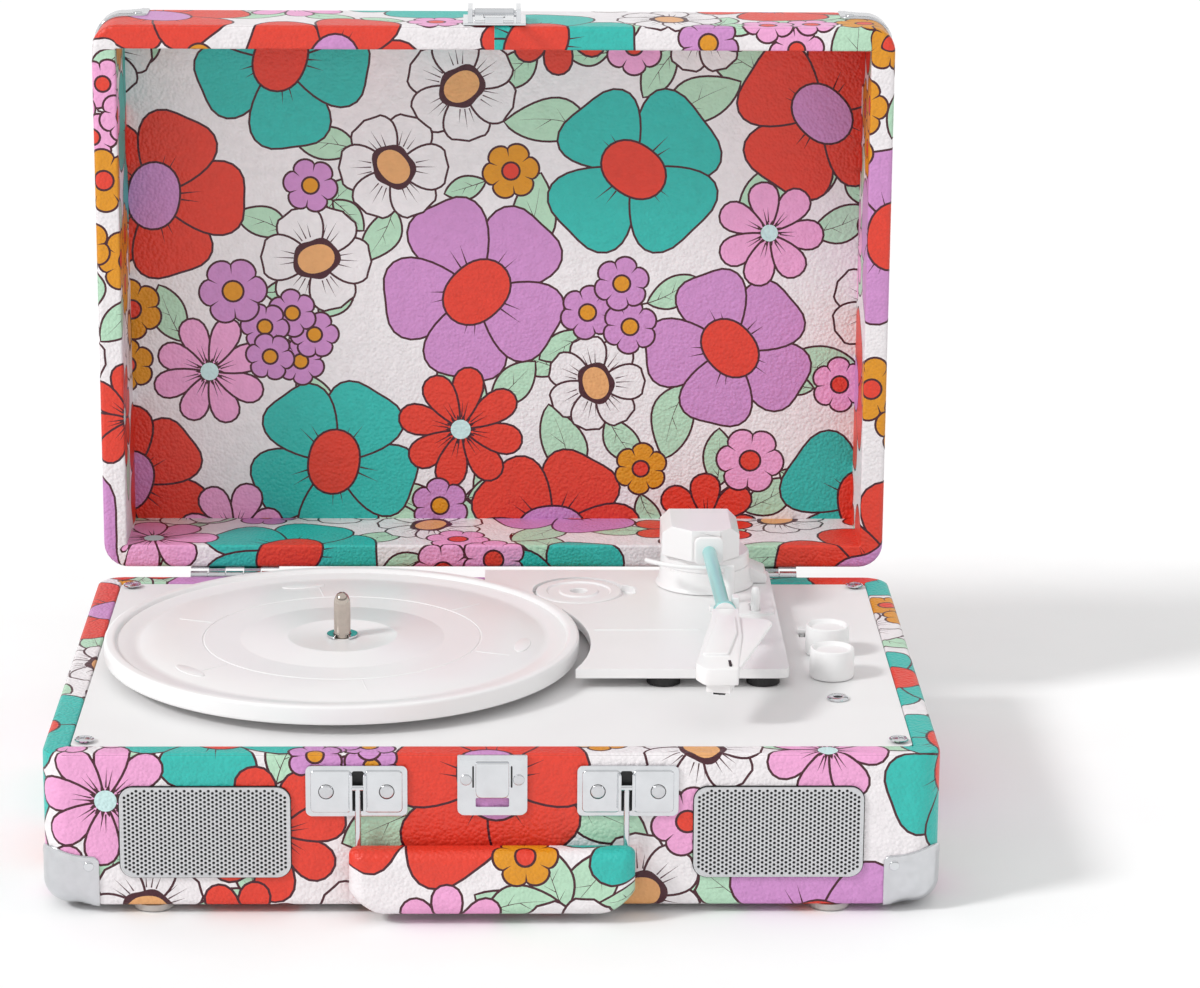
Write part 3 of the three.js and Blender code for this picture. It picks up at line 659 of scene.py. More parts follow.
def draw_print(width, height, seed):
    """Layers of a print that covers a sheet, from the bottom up."""
    rng = random.Random(seed)
    placed, flowers = [], []
    for draw, palettes, (small, large), share in KINDS:
        wanted = max(1, round((width + 2 * BLEED) * (height + 2 * BLEED) / share))
        first = rng.randrange(len(palettes))
        for k in range(wanted):
            r = rng.uniform(small, large)
            best = None
            for _ in range(TRIES):
                x, y = rng.uniform(-BLEED, width + BLEED), rng.uniform(-BLEED, height + BLEED)
                room = min((math.hypot(x - px, y - py) - pr - r for px, py, pr in placed), default=r)
                if best is None or room > best[0]:
                    best = (room, x, y)
                if room > ROOM_ENOUGH:
                    break
            room, x, y = best
            if room < -OVERLAP * r:
                continue
            placed.append((x, y, r))
            colour, heart = palettes[(first + k) % len(palettes)]
            flowers += draw(rng, x, y, r, colour, heart)
    leaves = []
    for x, y, r in placed:
        for _ in range(rng.choice((1, 2, 2))):
            leaves += leaf(rng, x, y, rng.uniform(0, TURN), r + rng.uniform(16, 24))
    return leaves + flowers


# ---------------------------------------------------------------- covers wrapped round a form
COVER_T = 0.5  # thickness of the printed leatherette
EDGE_R, CORNER_R = 2.2, 9  # radius of a tray's bottom edge, along its sides and at its corners
EASE_REACH = 13  # length over which one radius eases into the other
SLOPE_STEP = 0.05  # step over which a wrapped form's slope is measured
UNDER = 10  # how far the cover is turned in under the bottom edge


def cover(name, width, height, seed, wrap, bends=(), folds=(), holes=(), edge=None):
    """A printed sheet with thickness, cut through its drawn outlines and wrapped by wrap(u, v).

    The sheet only bends at the lines u in bends and v in folds. edge is its outline, if not a rectangle."""
    names = list(PRINT)
    points, edges, rings, colours = [], [], [], []

    def add_ring(outline, colour):
        start = len(points)
        twice_area = sum(ax * by - bx * ay for (ax, ay), (bx, by) in zip(outline, outline[1:] + outline[:1]))
        points.extend(Vector(p) for p in (outline if twice_area > 0 else reversed(outline)))
        rings.append(list(range(start, len(points))))
        colours.append(colour)

    add_ring(edge or [(0, 0), (width, 0), (width, height), (0, height)], "ground")
    for outline, colour in draw_print(width, height, seed):
        if any(-1 < x < width + 1 and -1 < y < height + 1 for x, y in outline):
            add_ring(outline, colour)
    first_hole = len(rings)
    for outline in holes:
        add_ring(outline, "ground")
    for ends in [((u, 0), (u, height)) for u in bends] + [((0, v), (width, v)) for v in folds]:
        edges.append((len(points), len(points) + 1))
        points.extend(Vector(p) for p in ends)
    flat, _, cells, _, _, origins = delaunay_2d_cdt(points, edges, rings, 0, 1e-4, True)
    faces, picks = [], []
    for cell, ids in zip(cells, origins):
        if 0 in ids and max(ids) < first_hole:
            faces.append(list(cell))
            picks.append(names.index(colours[max(ids)]))
    used = sorted({i for face in faces for i in face})
    renumber = {old: new for new, old in enumerate(used)}
    faces = [[renumber[i] for i in face] for face in faces]
    outer, normals = [], []
    for old in used:
        u, v = min(max(flat[old].x, 0), width), min(max(flat[old].y, 0), height)
        outer.append(wrap(u, v))
        along = wrap(min(u + SLOPE_STEP, width), v) - wrap(max(u - SLOPE_STEP, 0), v)
        across = wrap(u, min(v + SLOPE_STEP, height)) - wrap(u, max(v - SLOPE_STEP, 0))
        normals.append(along.cross(across).normalized())
    under = [p - n * COVER_T for p, n in zip(outer, normals)]
    shell, borders = sealed(faces, len(outer))
    obj = to_object(name, outer + under, shell, PRINT.values(), picks + picks + [picks[k] for k in borders])
    obj.data.shade_smooth()
    obj.data.normals_split_custom_set_from_vertices(normals + [-n for n in normals])
    return obj


class Loop:
    """Rounded rectangle walked anticlockwise from the middle of its far side."""

    def __init__(self, w, d, r, arc_steps=6):
        self.r = r
        self.far = d / 2
        x, y, quarter = w / 2 - r, d / 2 - r, math.pi / 2 * r
        self.legs, self.bends = [], []
        u = 0
        sides = [((-x, y), x), ((-x, -y), 2 * y), ((x, -y), 2 * x), ((x, y), 2 * y)]
        for i, (corner, span) in enumerate(sides):
            heading = math.pi + i * math.pi / 2
            self.legs.append((u, span, heading, None, corner))
            u += span
            self.bends += [u + quarter * k / arc_steps for k in range(arc_steps + 1)]
            self.legs.append((u, quarter, heading, corner, corner))
            u += quarter
        self.legs.append((u, x, math.pi, None, None))
        self.starts = [leg[0] for leg in self.legs]
        self.arcs = [(start, start + span) for start, span, _, centre, _ in self.legs if centre]
        reach = [EASE_REACH * k / 5 for k in range(1, 6)]
        self.bends += [end + t for _, end in self.arcs for t in reach]
        self.bends += [start - t for start, _ in self.arcs for t in reach]
        self.length = u + x

    def at(self, u):
        """Place and outward direction at a distance along the loop."""
        start, span, heading, centre, corner = self.legs[max(0, bisect_right(self.starts, u + 1e-9) - 1)]
        t = u - start
        if centre:
            a = heading - math.pi / 2 + t / self.r
            out = Vector((math.cos(a), math.sin(a), 0))
            return Vector((*centre, 0)) + out * self.r, out
        out = Vector((math.cos(heading - math.pi / 2), math.sin(heading - math.pi / 2), 0))
        ahead = Vector((math.cos(heading), math.sin(heading), 0))
        if corner is None:
            return Vector((self.length - u, self.far, 0)), out
        return Vector((*corner, 0)) + out * self.r - ahead * (span - t), out


class Profile:
    """Polyline of (inset, height) walked by distance, with its corners rounded."""

    def __init__(self, points, radii, steps=5):
        self.points = fillet(points, radii, steps)
        self.marks = [0]
        for a, b in zip(self.points, self.points[1:]):
            self.marks.append(self.marks[-1] + (b - a).length)
        self.length = self.marks[-1]
        self.folds = self.marks[1:-1]

    def at(self, v):
        i = min(max(bisect_right(self.marks, v) - 1, 0), len(self.points) - 2)
        t = (v - self.marks[i]) / (self.marks[i + 1] - self.marks[i])
        return self.points[i].lerp(self.points[i + 1], t)

    def on_wall(self, height):
        """Distance along the profile to a height on its first long upright stretch."""
        long = 20
        for i, (a, b) in enumerate(zip(self.points, self.points[1:])):
            if b.y - a.y > long:
                return self.marks[i] + height - a.y


def wrapped_tray(loop, profile, place):
    """wrap(u, v) along a loop round a tray and up a profile, with the tray's corners rounded off below.

    place maps to the row frame."""
    bottom = profile.points[0].y

    def wrap(u, v):
        spot, out = loop.at(u)
        inset, height = profile.at(v)
        near = max(0, 1 - min(max(start - u, u - end, 0) for start, end in loop.arcs) / EASE_REACH)
        r = EDGE_R + (CORNER_R - EDGE_R) * near * near * (3 - 2 * near)
        if inset < r and height - bottom < r:
            off = Vector((inset - r, height - bottom - r)).normalized() * r
            inset, height = r + off.x, bottom + r + off.y
        return place(spot - out * inset + Vector((0, 0, height)))

    return wrap


# ---------------------------------------------------------------- case and lid
CASE = dict(w=356, d=248, r=11, wall=10.5)
LID = dict(w=353, d=247, r=11, wall=10.5, panel=1.5)
BOARD_INSET = COVER_T + 0.1
ROUNDING = [7.8, 6.2, 4.7, 3.4]  # where the cover may bend near its bottom edge
RIM_R = 2.4, 1.1  # outer and inner radius of a tray's rim
LIP = 3.4  # how far the case's cover is turned down inside its rim


def board_tray(name, w, d, r, wall, floor, low, high, turn, at, windows):
    """Fibreboard tray inside the covers, with the windows' prisms cut out of it."""
    at = Vector(at)
    steps = 5
    turned_in = CORNER_R - BOARD_INSET
    levels = [(BOARD_INSET + turned_in * (1 - math.sin(a)), low + turned_in * (1 - math.cos(a)), r)
              for a in (math.pi / 2 * k / steps for k in range(steps + 1))]
    inner = wall - BOARD_INSET
    levels += [(BOARD_INSET, high, r), (inner, high, wall + 1), (inner, floor, wall + 1)]
    rings = []
    for inset, height, corner in levels:
        outline = rounded_rect(w - 2 * inset, d - 2 * inset, max(corner - inset, 0.8))
        rings.append([turn @ Vector((x, y, height)) + at for x, y in outline])
    tray = carve(loft(name, rings, FIBREBOARD), *windows)
    smooth(tray)
    return tray


def tray_profile(low, high, wall, lip):
    """From under a tray's bottom edge, up its wall, over the rim and down inside it to lip."""
    points = [(UNDER, low), *((i, low) for i in ROUNDING), (0, low)]
    points += [*((0, low + i) for i in reversed(ROUNDING)), (0, high), (wall, high), (wall, lip)]
    radii = [0] * (1 + len(ROUNDING)) + [EDGE_R] + [0] * len(ROUNDING) + [*RIM_R, 0]
    return Profile(points, radii)


def case():
    low, high, _ = box_mm("base_case")
    mid_y = (low.y + high.y) / 2
    loop = Loop(CASE["w"], CASE["d"], CASE["r"])
    profile = tray_profile(low.z, high.z, CASE["wall"], high.z - LIP)
    front, back = loop.length / 2, loop.length
    through_front, through_back = (120, 150), (-120, -80)
    holes, windows = [], []
    for node in ("speaker_grille_left", "speaker_grille_right"):
        a, b, _ = box_mm(node)
        w, h = b.x - a.x - 8, b.z - a.z - 7
        x, z = (a.x + b.x) / 2, (a.z + b.z) / 2
        holes.append(rounded_rect(w, h, 4, 4, front + x, profile.on_wall(z)))
        windows.append(prism("window", rounded_rect(w, h, 4, 4, x, z), *through_front, FIBREBOARD, turn=UP_Y))
    a, b, _ = box_mm("rear_jack_panel")
    z = (a.z + b.z) / 2
    v = profile.on_wall(z)
    half_w, half_h = 24, 7
    for u0, u1 in ((0, half_w), (back - half_w, back)):
        holes.append([(u0, v - half_h), (u1, v - half_h), (u1, v + half_h), (u0, v + half_h)])
    opening = rounded_rect(2 * half_w, 2 * half_h, 0.5, 2, 0, z)
    windows.append(prism("window", opening, *through_back, FIBREBOARD, turn=UP_Y))
    wrap = wrapped_tray(loop, profile, lambda p: p + Vector((0, mid_y, 0)))
    skin = cover("case_cover", loop.length, profile.length, PRINT_SEED, wrap, loop.bends, profile.folds,
                 holes)
    settle(skin, "base", "floral_cover", "base_case")
    board = board_tray("case_board", CASE["w"], CASE["d"], CASE["r"], CASE["wall"], low.z + 4,
                       low.z + COVER_T + 0.02, high.z - BOARD_INSET, UP_Z, (0, mid_y, 0), windows)
    settle(board, "base", "floral_cover")
    corner_caps("case_corner", "base", "base_corner", wrap, loop, profile.on_wall(low.z))


def lid():
    low, high, _ = box_mm("lid_shell")
    back, height = high.y, high.y - low.y
    mid_z = (low.z + high.z) / 2
    loop = Loop(LID["w"], LID["d"], LID["r"])
    profile = tray_profile(0, height, LID["wall"], LID["panel"])
    wrap = wrapped_tray(loop, profile, lambda p: Vector((p.x, back - p.z, mid_z + p.y)))
    walls = cover("lid_cover", loop.length, profile.length, PRINT_SEED + 1, wrap, loop.bends, profile.folds)
    settle(walls, "lid", "floral_cover", "lid_shell")
    w, d = LID["w"] - 2 * LID["wall"], LID["d"] - 2 * LID["wall"]
    lining = cover("lid_lining", w, d, PRINT_SEED + 2,
                   lambda u, v: Vector((u - w / 2, back - LID["panel"], mid_z + v - d / 2)))
    settle(lining, "lid", "floral_cover")
    pw, pd = LID["w"] - 2 * UNDER - 0.2, LID["d"] - 2 * UNDER - 0.2
    panel = cover("lid_panel", pw, pd, PRINT_SEED + 3,
                  lambda u, v: Vector((pw / 2 - u, back, mid_z + v - pd / 2)),
                  edge=rounded_rect(pw, pd, 1.2, 6, pw / 2, pd / 2))
    settle(panel, "lid", "floral_cover")
    board = board_tray("lid_board", LID["w"], LID["d"], LID["r"], LID["wall"], 0.98, COVER_T + 0.02,
                       height - BOARD_INSET, UP_Y, (0, back, mid_z), [])
    settle(board, "lid", "floral_cover")
    corner_caps("cap_lid", "lid", "lid_corner", wrap, loop, profile.on_wall(0))


# ---------------------------------------------------------------- front and corner fittings
CAP_HALF, CAP_RISE = 20, 21  # reach of a metal corner along the case and up it
RIVET_OUT, RIVET_UP = 15.8, 17  # place of its rivets


def corner_caps(kind, body, node_kind, wrap, loop, foot):
    """A pressed metal corner at each of a tray's four corners. foot is where the profile's wall begins."""
    for k, (start, end) in enumerate(loop.arcs):
        turn = (start + end) / 2
        node = min((f"{node_kind}_{i}" for i in range(1, 5)),
                   key=lambda n: (box_mm(n)[2] - wrap(turn, foot)).length)
        settle(corner_cap(f"{kind}_{k}", wrap, turn, foot), body, "satin_metal", node)


def corner_cap(name, wrap, turn, foot):
    """Metal corner that follows the cover round its vertical corner, at turn, and its bottom edge."""
    near = [0, 0.12, 0.4, 0.9, 1.6, 2.4, 2.8, 3.2, 3.7, 4.6]  # rows close to the rim, for its roll and bead
    past, below = 5.8, 5.4
    across = [-CAP_HALF + e for e in near]
    across += [-CAP_HALF + past + 2 * (CAP_HALF - past) * k / 26 for k in range(27)]
    across += [CAP_HALF - e for e in reversed(near)]
    rows, columns = len(near) + 20, len(across)
    points, under = [], []

    def sheet_point(u, v):
        along = wrap(u + SLOPE_STEP, v) - wrap(u - SLOPE_STEP, v)
        up = wrap(u, v + SLOPE_STEP) - wrap(u, max(v - SLOPE_STEP, 0))
        return wrap(u, v), along.cross(up).normalized()

    for s in across:
        rise = foot + CAP_RISE + 3.5 * math.exp(-(s / 9) ** 2)
        cut = max(abs(s) - (CAP_HALF - 3), 0) / 3
        rise -= 3 * (1 - math.sqrt(max(1 - cut * cut, 0)))
        for k in range(rows):
            v = rise - near[k] if k < len(near) else (rise - below) * (rows - 1 - k) / (rows - 1 - len(near))
            spot, out = sheet_point(turn + s, v)
            edge = min(CAP_HALF - abs(s), rise - v)
            rolled = math.sqrt(1 - (1 - min(edge / 0.9, 1)) ** 2)
            bead = 0.16 * math.exp(-((edge - 2.8) / 0.45) ** 2)
            points.append(spot + out * (0.4 + 0.5 * rolled + bead))
            under.append(spot + out * 0.06)
    faces = []
    for i in range(columns - 1):
        for k in range(rows - 1):
            a, b = i * rows + k, (i + 1) * rows + k
            faces.append([a, a + 1, b + 1, b])
    cap = to_object(name, points + under, sealed(faces, len(points))[0], [NICKEL])
    smooth(cap, 50)
    rivets = []
    for s in (-RIVET_OUT, RIVET_OUT):
        spot, out = sheet_point(turn + s, foot + RIVET_UP)
        rivets.append(dome("rivet", 2.1, 0.9, spot + out * 0.8, out, CHROME))
    return merge(name, cap, *rivets)


GRILLE_R = 5.5
HOLE_STEP, HOLE_PITCH, HOLE_R = 1.58, 1.82, 0.63  # across, upwards, and radius
WIRE_INSET = 7  # from the ends of the handle's pivots to the wire's legs


def grilles():
    margin = 1.35
    for side in ("left", "right"):
        node = f"speaker_grille_{side}"
        low, high, c = box_mm(node)
        w, h = high.x - low.x, high.z - low.z
        holes = []
        for i in range(-24, 25):
            for j in range(-12, 13):
                x, z = i * HOLE_STEP, (j + 0.5 * (i % 2)) * HOLE_PITCH
                dx, dz = max(abs(x) - (w / 2 - GRILLE_R), 0), max(abs(z) - (h / 2 - GRILLE_R), 0)
                in_corner = math.hypot(dx, dz) < GRILLE_R - margin
                if abs(x) < w / 2 - margin and abs(z) < h / 2 - margin and in_corner:
                    holes.append(circle(HOLE_R, 8, c.x + x, c.z + z))
        outline = rounded_rect(w, h, GRILLE_R, 8, c.x, c.z)
        face = -low.y
        plate = prism("plate", outline, face - 0.7, face - 0.12, GRILLE_METAL, turn=UP_Y, holes=holes)
        mouth = rounded_rect(w - 1.5, h - 1.5, GRILLE_R - 0.75, 8, c.x, c.z)
        rim = prism("rim", outline, face - 0.7, face, GRILLE_METAL, bevel=0.22, turn=UP_Y, holes=[mouth])
        # Painted shade: a black sheet behind the holes stands in for the shade inside the case, so the holes
        # read dark.
        behind = rounded_rect(w + 0.7, h + 0.7, GRILLE_R + 0.35, 8, c.x, c.z)
        painted_shade_sheet = prism("painted_shade_sheet", behind, -high.y - 0.1, face - 0.78, BLACK, turn=UP_Y)
        stands_for(node, merge(f"grille_{side}", plate, rim, painted_shade_sheet), "satin_metal")


def brackets():
    wire_end = box_mm("handle_wire")[1].x - WIRE_INSET
    gap = 2.5
    shade = [(0, -0.2), (3.1, -0.2), (3.1, 0.23), (0, 0.23)]
    for side, s in (("left", -1), ("right", 1)):
        node = f"handle_bracket_{side}"
        low, high, c = box_mm(node)
        w, h, back = high.x - low.x, high.z - low.z, -high.y
        eye = s * wire_end
        parts = [prism("plate", rounded_rect(w, h, 2.5, 5, c.x, c.z), back, back + 0.9, CHROME, 0.35, UP_Y)]
        for x0, x1 in ((low.x + 2, eye - gap), (eye + gap, high.x - 2)):
            pad = rounded_rect(x1 - x0, h - 3.6, 1.8, 5, (x0 + x1) / 2, c.z)
            parts.append(prism("pad", pad, back + 0.4, back + 1.7, CHROME, 0.6, UP_Y, segments=3))
        for e in (-1, 1):
            cheek = rounded_rect(1.3, h - 5.6, 0.6, 3, eye + e * (gap + 0.2), c.z)
            parts.append(prism("cheek", cheek, back + 0.4, back + 4.2, CHROME, 0.4, UP_Y))
            spot = Vector((c.x + e * (w / 2 - 8.2), -back - 1.5, c.z))
            parts.append(lathe("shade", shade, spot, BLACK, 24, UP_Y))
            parts.append(dome("rivet", 2.8, 0.75, spot, (0, -1, 0), NICKEL))
        # Painted shade: a black insert fills the wire's slot and stands in for the shade inside the opening.
        opening = rounded_rect(2 * gap - 0.4, h - 4.5, 0.8, 3, eye, c.z)
        slot = prism("slot", opening, back + 0.5, back + 0.97, BLACK, turn=UP_Y)
        stands_for(node, merge(f"bracket_{side}", slot, *parts), "chrome")


def catch():
    low, high, _ = box_mm("latch_catch")
    back = -high.y
    window_z, slot_z, rivet_z = 47.35, 58, 56.8
    half, tongue_low, tongue_high = 6.6, 49.5, 64.4
    corners = [(low.x, low.z), (high.x, low.z), (high.x, high.z), (low.x, high.z)]
    outline = fillet(corners, [3, 3, 0.4, 0.4], 5, closed=True)
    window = rounded_rect(13.2, 3.7, 0.5, 3, 0, window_z)
    plate = prism("plate", outline, back, back + 0.85, CHROME, 0.25, UP_Y, holes=[window])
    corners = [(-half, tongue_low), (half, tongue_low), (half, tongue_high), (-half, tongue_high)]
    tongue = fillet(corners, [2.6, 2.6, 0.8, 0.8], 5, closed=True)
    parts = [plate, prism("tongue", tongue, back + 0.3, back + 2.6, CHROME, 0.7, UP_Y, segments=3)]
    # Painted shade: black strips in the slits beside the tongue stand in for the shade inside them.
    for s in (-1, 1):
        slot = rounded_rect(0.7, 9, 0.3, 3, s * (half + 1), slot_z)
        parts.append(prism("slot", slot, back + 0.3, back + 0.9, BLACK, turn=UP_Y))
    for s in (-1, 1):
        spot = (s * ((high.x - low.x) / 2 - 3.4), -back - 0.75, rivet_z)
        parts.append(dome("rivet", 2.3, 0.7, spot, (0, -1, 0), NICKEL))
    stands_for("latch_catch", merge("catch", *parts), "chrome")


def handle():
    low, high, _ = box_mm("handle_wire")
    y, r = (low.y + high.y) / 2, 1.2
    top, bottom, end = high.z - r, low.z + r, high.x - WIRE_INSET
    path = fillet([(-end, y, top), (-end, y, bottom), (end, y, bottom), (end, y, top)], [0, 3, 3, 0], 6)
    bail = rod("bail", path, r, CHROME)
    bars = [rod("bar", [(s * end - 2.2, y, top), (s * end + 2.2, y, top)], r, CHROME) for s in (-1, 1)]
    stands_for("handle_wire", merge("handle_bail", bail, *bars), "chrome")
    low, high, centre = box_mm("handle_grip")
    length, depth, tall = high.x - low.x, high.y - low.y, high.z - low.z
    section = rounded_rect(depth, tall, 4.6, 6)
    section = section[-4:] + section[:-4] + [section[-4]]
    marks = [0]
    for a, b in zip(section, section[1:]):
        marks.append(marks[-1] + math.dist(a, b))

    def rounding(u, reach):
        """From 0 at the grip's ends to 1 at reach from them, along a quarter circle."""
        return math.sqrt(1 - (1 - min(min(u, length - u) / reach, 1)) ** 2)

    def wrap(u, v):
        k = min(max(bisect_right(marks, v) - 1, 0), len(section) - 2)
        t = (v - marks[k]) / (marks[k + 1] - marks[k])
        across = section[k][0] * (1 - t) + section[k + 1][0] * t
        up = section[k][1] * (1 - t) + section[k + 1][1] * t
        narrow = 0.12 + 0.88 * rounding(u, 6)
        slope = 9 * (1 - min(min(u, length - u) / 13, 1)) ** 1.8
        drop = 2 * (1 - rounding(u, 3))
        share = (up + tall / 2) / tall
        base, crown = -tall / 2 + slope, tall / 2 - drop
        return centre + Vector((u - length / 2, across * narrow, base + (crown - base) * share))

    near_end = [0.25, 0.7, 1.4, 2.3, 3.4, 4.7, 6.2, 8, 10, 13]
    bends = near_end + [length - e for e in near_end]
    skin = cover("grip_cover", length, marks[-1], PRINT_SEED + 5, wrap, bends, marks[1:-1])
    inner = rounded_rect(length - 1.2, tall - 12, 2, 4, 0, centre.z + 2.5)
    core = prism("core", inner, -centre.y - 0.7, -centre.y + 0.7, FIBREBOARD, turn=UP_Y)
    settle(core, "handle", "floral_cover")
    stands_for("handle_grip", skin, "floral_cover")


def feet():
    for k in range(1, 5):
        low, high, c = box_mm(f"foot_{k}")
        r = (high.x - low.x) / 2 + 0.1
        profile = [(r, high.z), (r, low.z + 1.4), (r - 0.5, low.z + 0.5), (r - 1.6, low.z), (0, low.z),
                   (0, high.z)]
        foot = lathe(f"foot_look_{k}", profile, (c.x, c.y, 0), FOOT_PLASTIC, 48)
        stands_for(f"foot_{k}", foot, "rubber")


# ---------------------------------------------------------------- deck, platter and controls
PLATE_T = 4.1  # thickness of the platform's plate, above its dark legs


def platter():
    low, high, c = box_mm("platter")
    r, top, at = (high.x - low.x) / 2, high.z, (c.x, c.y, 0)
    floor, skirt, web = top - 1.4, low.z + 1.4, low.z + 1.8
    land = floor - 0.35
    profile = [(4.2, floor - 4), (4.2, floor - 0.2), (5, floor), (21.5, floor), (22.3, floor + 0.22),
               (23.6, floor + 0.22), (24.4, floor), (41.5, floor), (42.5, land), (43.5, land), (58, land),
               (58.3, floor - 0.6), (58.7, floor - 0.6), (59, land), (83.6, land), (84.6, floor - 0.75),
               (88, floor - 0.85), (89.6, floor - 0.3), (94.6, floor - 0.1), (95.4, top - 0.35), (96.2, top)]
    profile += fillet([(97, top), (r, top), (r, skirt), (r - 3.4, skirt)], [0, 1.6, 1.5, 0], 6)
    profile += [(77.5, skirt), (76, low.z), (74, low.z), (73, web), (12, web), (11, floor - 4)]
    parts = [lathe("platter_disc", profile, at, WHITE, 160)]
    rib = rounded_rect(15, 0.55, 0.25, 3, 67.5, 0)
    pad = [(77 + 3.2 * math.cos(t), 9.5 * math.sin(t)) for t in (TURN * k / 32 for k in range(32))]
    for k in range(6):
        turn = Matrix.Rotation(math.radians(-20 + 60 * k), 3, "Z")
        parts.append(prism("rib", rib, floor - 0.6, floor - 0.2, WHITE, 0.1, turn, at))
    for a in (-9, 105, 218):
        turn = Matrix.Rotation(math.radians(a), 3, "Z")
        parts.append(prism("pad", pad, floor - 0.8, floor - 0.05, WHITE, 0.25, turn, at, segments=3))
    stands_for("platter", merge("platter_top", *parts), "white_plastic")


def spindle():
    low, high, c = box_mm("spindle")
    top, r, flange = high.z, 3.5, (high.x - low.x) / 2
    profile = [(0, low.z), (flange, low.z), (flange, low.z + 1.5), (r, low.z + 1.8), (r, top - 5),
               (r - 0.15, top - 3.6), (r - 0.6, top - 2.2), (r - 1.35, top - 1), (r - 2.3, top - 0.3),
               (0, top)]
    post = lathe("spindle_post", profile, (c.x, c.y, 0), STEEL, 48)
    stands_for("spindle", post, "chrome")
    refined("spindle_clip", CHROME, "satin_metal", 0.15)


def knobs():
    for node in ("knob_volume", "knob_selector"):
        low, high, c = box_mm(node)
        r, top = (high.x - low.x) / 2, high.z
        profile = [(0, top - 1.6), (r * 0.72, top - 1.5), (r * 0.8, top - 0.9), (r * 0.86, top - 0.15),
                   (r - 0.9, top), (r - 0.35, top - 0.25), (r - 0.12, top - 0.9), (r, low.z + 1),
                   (r - 0.3, low.z), (3.2, low.z), (3.2, low.z + 8.6), (0, low.z + 8.6)]
        stands_for(node, lathe(f"{node}_cap", profile[::-1], (c.x, c.y, 0), WHITE, 96), "white_plastic")


def screws():
    for k in range(1, 5):
        node = f"deck_screw_{k}"
        low, high, c = box_mm(node)
        z, at = high.z, (c.x, c.y, 0)
        washer = [(2.2, z - 0.5), (2.5, z - 0.25), (3.2, z), (3.9, z - 0.35), (3.9, z - 0.75),
                  (2.2, z - 0.75)]
        cup = lathe("cup", washer, at, CHROME, 40)
        head = dome("head", 2.7, 0.8, (c.x, c.y, z - 0.75), (0, 0, 1), CHROME, 0.1)
        cross = [prism("slot", rounded_rect(*size, 0.2, 2, c.x, c.y), z - 0.3, z + 1, CHROME)
                 for size in ((3.4, 0.6), (0.6, 3.4))]
        carve(head, *cross)
        shank = lathe("shank", [(0, low.z), (1.4, low.z + 1.4), (1.4, z - 0.9), (0, z - 0.9)], at, CHROME, 16)
        stands_for(node, merge(f"screw_{k}", cup, head, shank), "chrome")


def small_controls():
    low, high, c = box_mm("headphone_jack")
    z, at = high.z, (c.x, c.y, 0)
    profile = [(1.8, low.z), (3, low.z), (3, z - 1), (4.6, z - 1), (4.5, z - 0.4), (3.9, z), (2.2, z),
               (1.8, z - 0.3)]
    ring = lathe("ring", profile, at, CHROME, 48)
    # Painted shade: a black plug a little way down the hole stands in for the shade deep inside the jack.
    bore_shade = lathe("bore_shade", [(0, z - 3.2), (1.85, z - 3.2), (1.85, z - 1.2), (0, z - 1.2)], at, BLACK, 24)
    stands_for("headphone_jack", merge("jack", ring, bore_shade), "chrome")
    low, high, c = box_mm("auto_stop_slider")
    top = rounded_rect(high.x - low.x, high.y - low.y, 0.7, 4, c.x, c.y)
    cap = prism("cap", top, high.z - 1.9, high.z, WHITE, 0.35)
    ribs = [prism("rib", rounded_rect(3, 0.35, 0.1, 2, c.x, c.y + d), high.z - 0.3, high.z + 0.2, WHITE)
            for d in (-0.9, 0, 0.9)]
    stalk = prism("stalk", rounded_rect(2, 3, 0.3, 2, c.x, c.y), low.z, high.z - 1.5, WHITE)
    stands_for("auto_stop_slider", merge("slider", cap, stalk, *ribs), "white_plastic")


def adapter():
    low, high, c = box_mm("record_adapter")
    r, z0, z1 = (high.x - low.x) / 2, low.z, high.z
    outer = fillet([(r - 4, z1), (r, z1), (r, z0), (r - 4, z0)], [0, 0.9, 0.7, 0], 4)
    ring = [(3.7, z0), (3.7, z1 - 0.3), (4.1, z1), (8.2, z1), (9, z1 - 0.6), (13.6, z1 - 0.6), (14.4, z1)]
    stands_for("record_adapter", lathe("adapter", [*ring, *outer], (c.x, c.y, 0), WHITE, 96), "white_plastic")


def deck():
    refined("motor_board", DECK_WHITE, "white_plastic", 0.25)
    platform = refined("tonearm_platform", WHITE, "white_plastic", 0.9, 3)
    low, high, _ = box_mm("tonearm_platform")
    repaint(platform, BLACK, lambda p: p.z < high.z - PLATE_T)
    a, b, _ = box_mm("cue_lever")
    corners = [(a.x - 3, a.y - 5), (b.x + 3, a.y - 5), (b.x + 3, b.y + 12), (a.x - 3, b.y + 12)]
    slot = rounded_rect(4.8, 13.5, 2.2, 4, (a.x + b.x) / 2, (a.y + b.y) / 2 + 3.6)
    tread = fillet(corners, 1.5, 4, True)
    pad = prism("lever_pad", tread, high.z - 0.3, high.z + 0.7, WHITE, 0.4, holes=[slot])
    settle(pad, "base", "white_plastic")
    x0, x1 = low.x + 47, a.x - 20
    ridge = rounded_rect(x1 - x0, 0.9, 0.4, 3, (x0 + x1) / 2, low.y + 55)
    step = prism("platform_step", ridge, high.z - 0.2, high.z + 0.3, WHITE, 0.15)
    settle(step, "base", "white_plastic")


# ---------------------------------------------------------------- tonearm
LIFT_REACH = 35  # radius of the cue lift bar round the arm pivot
ARM_REACH = 116  # from the pivot to the front end of the aqua tube


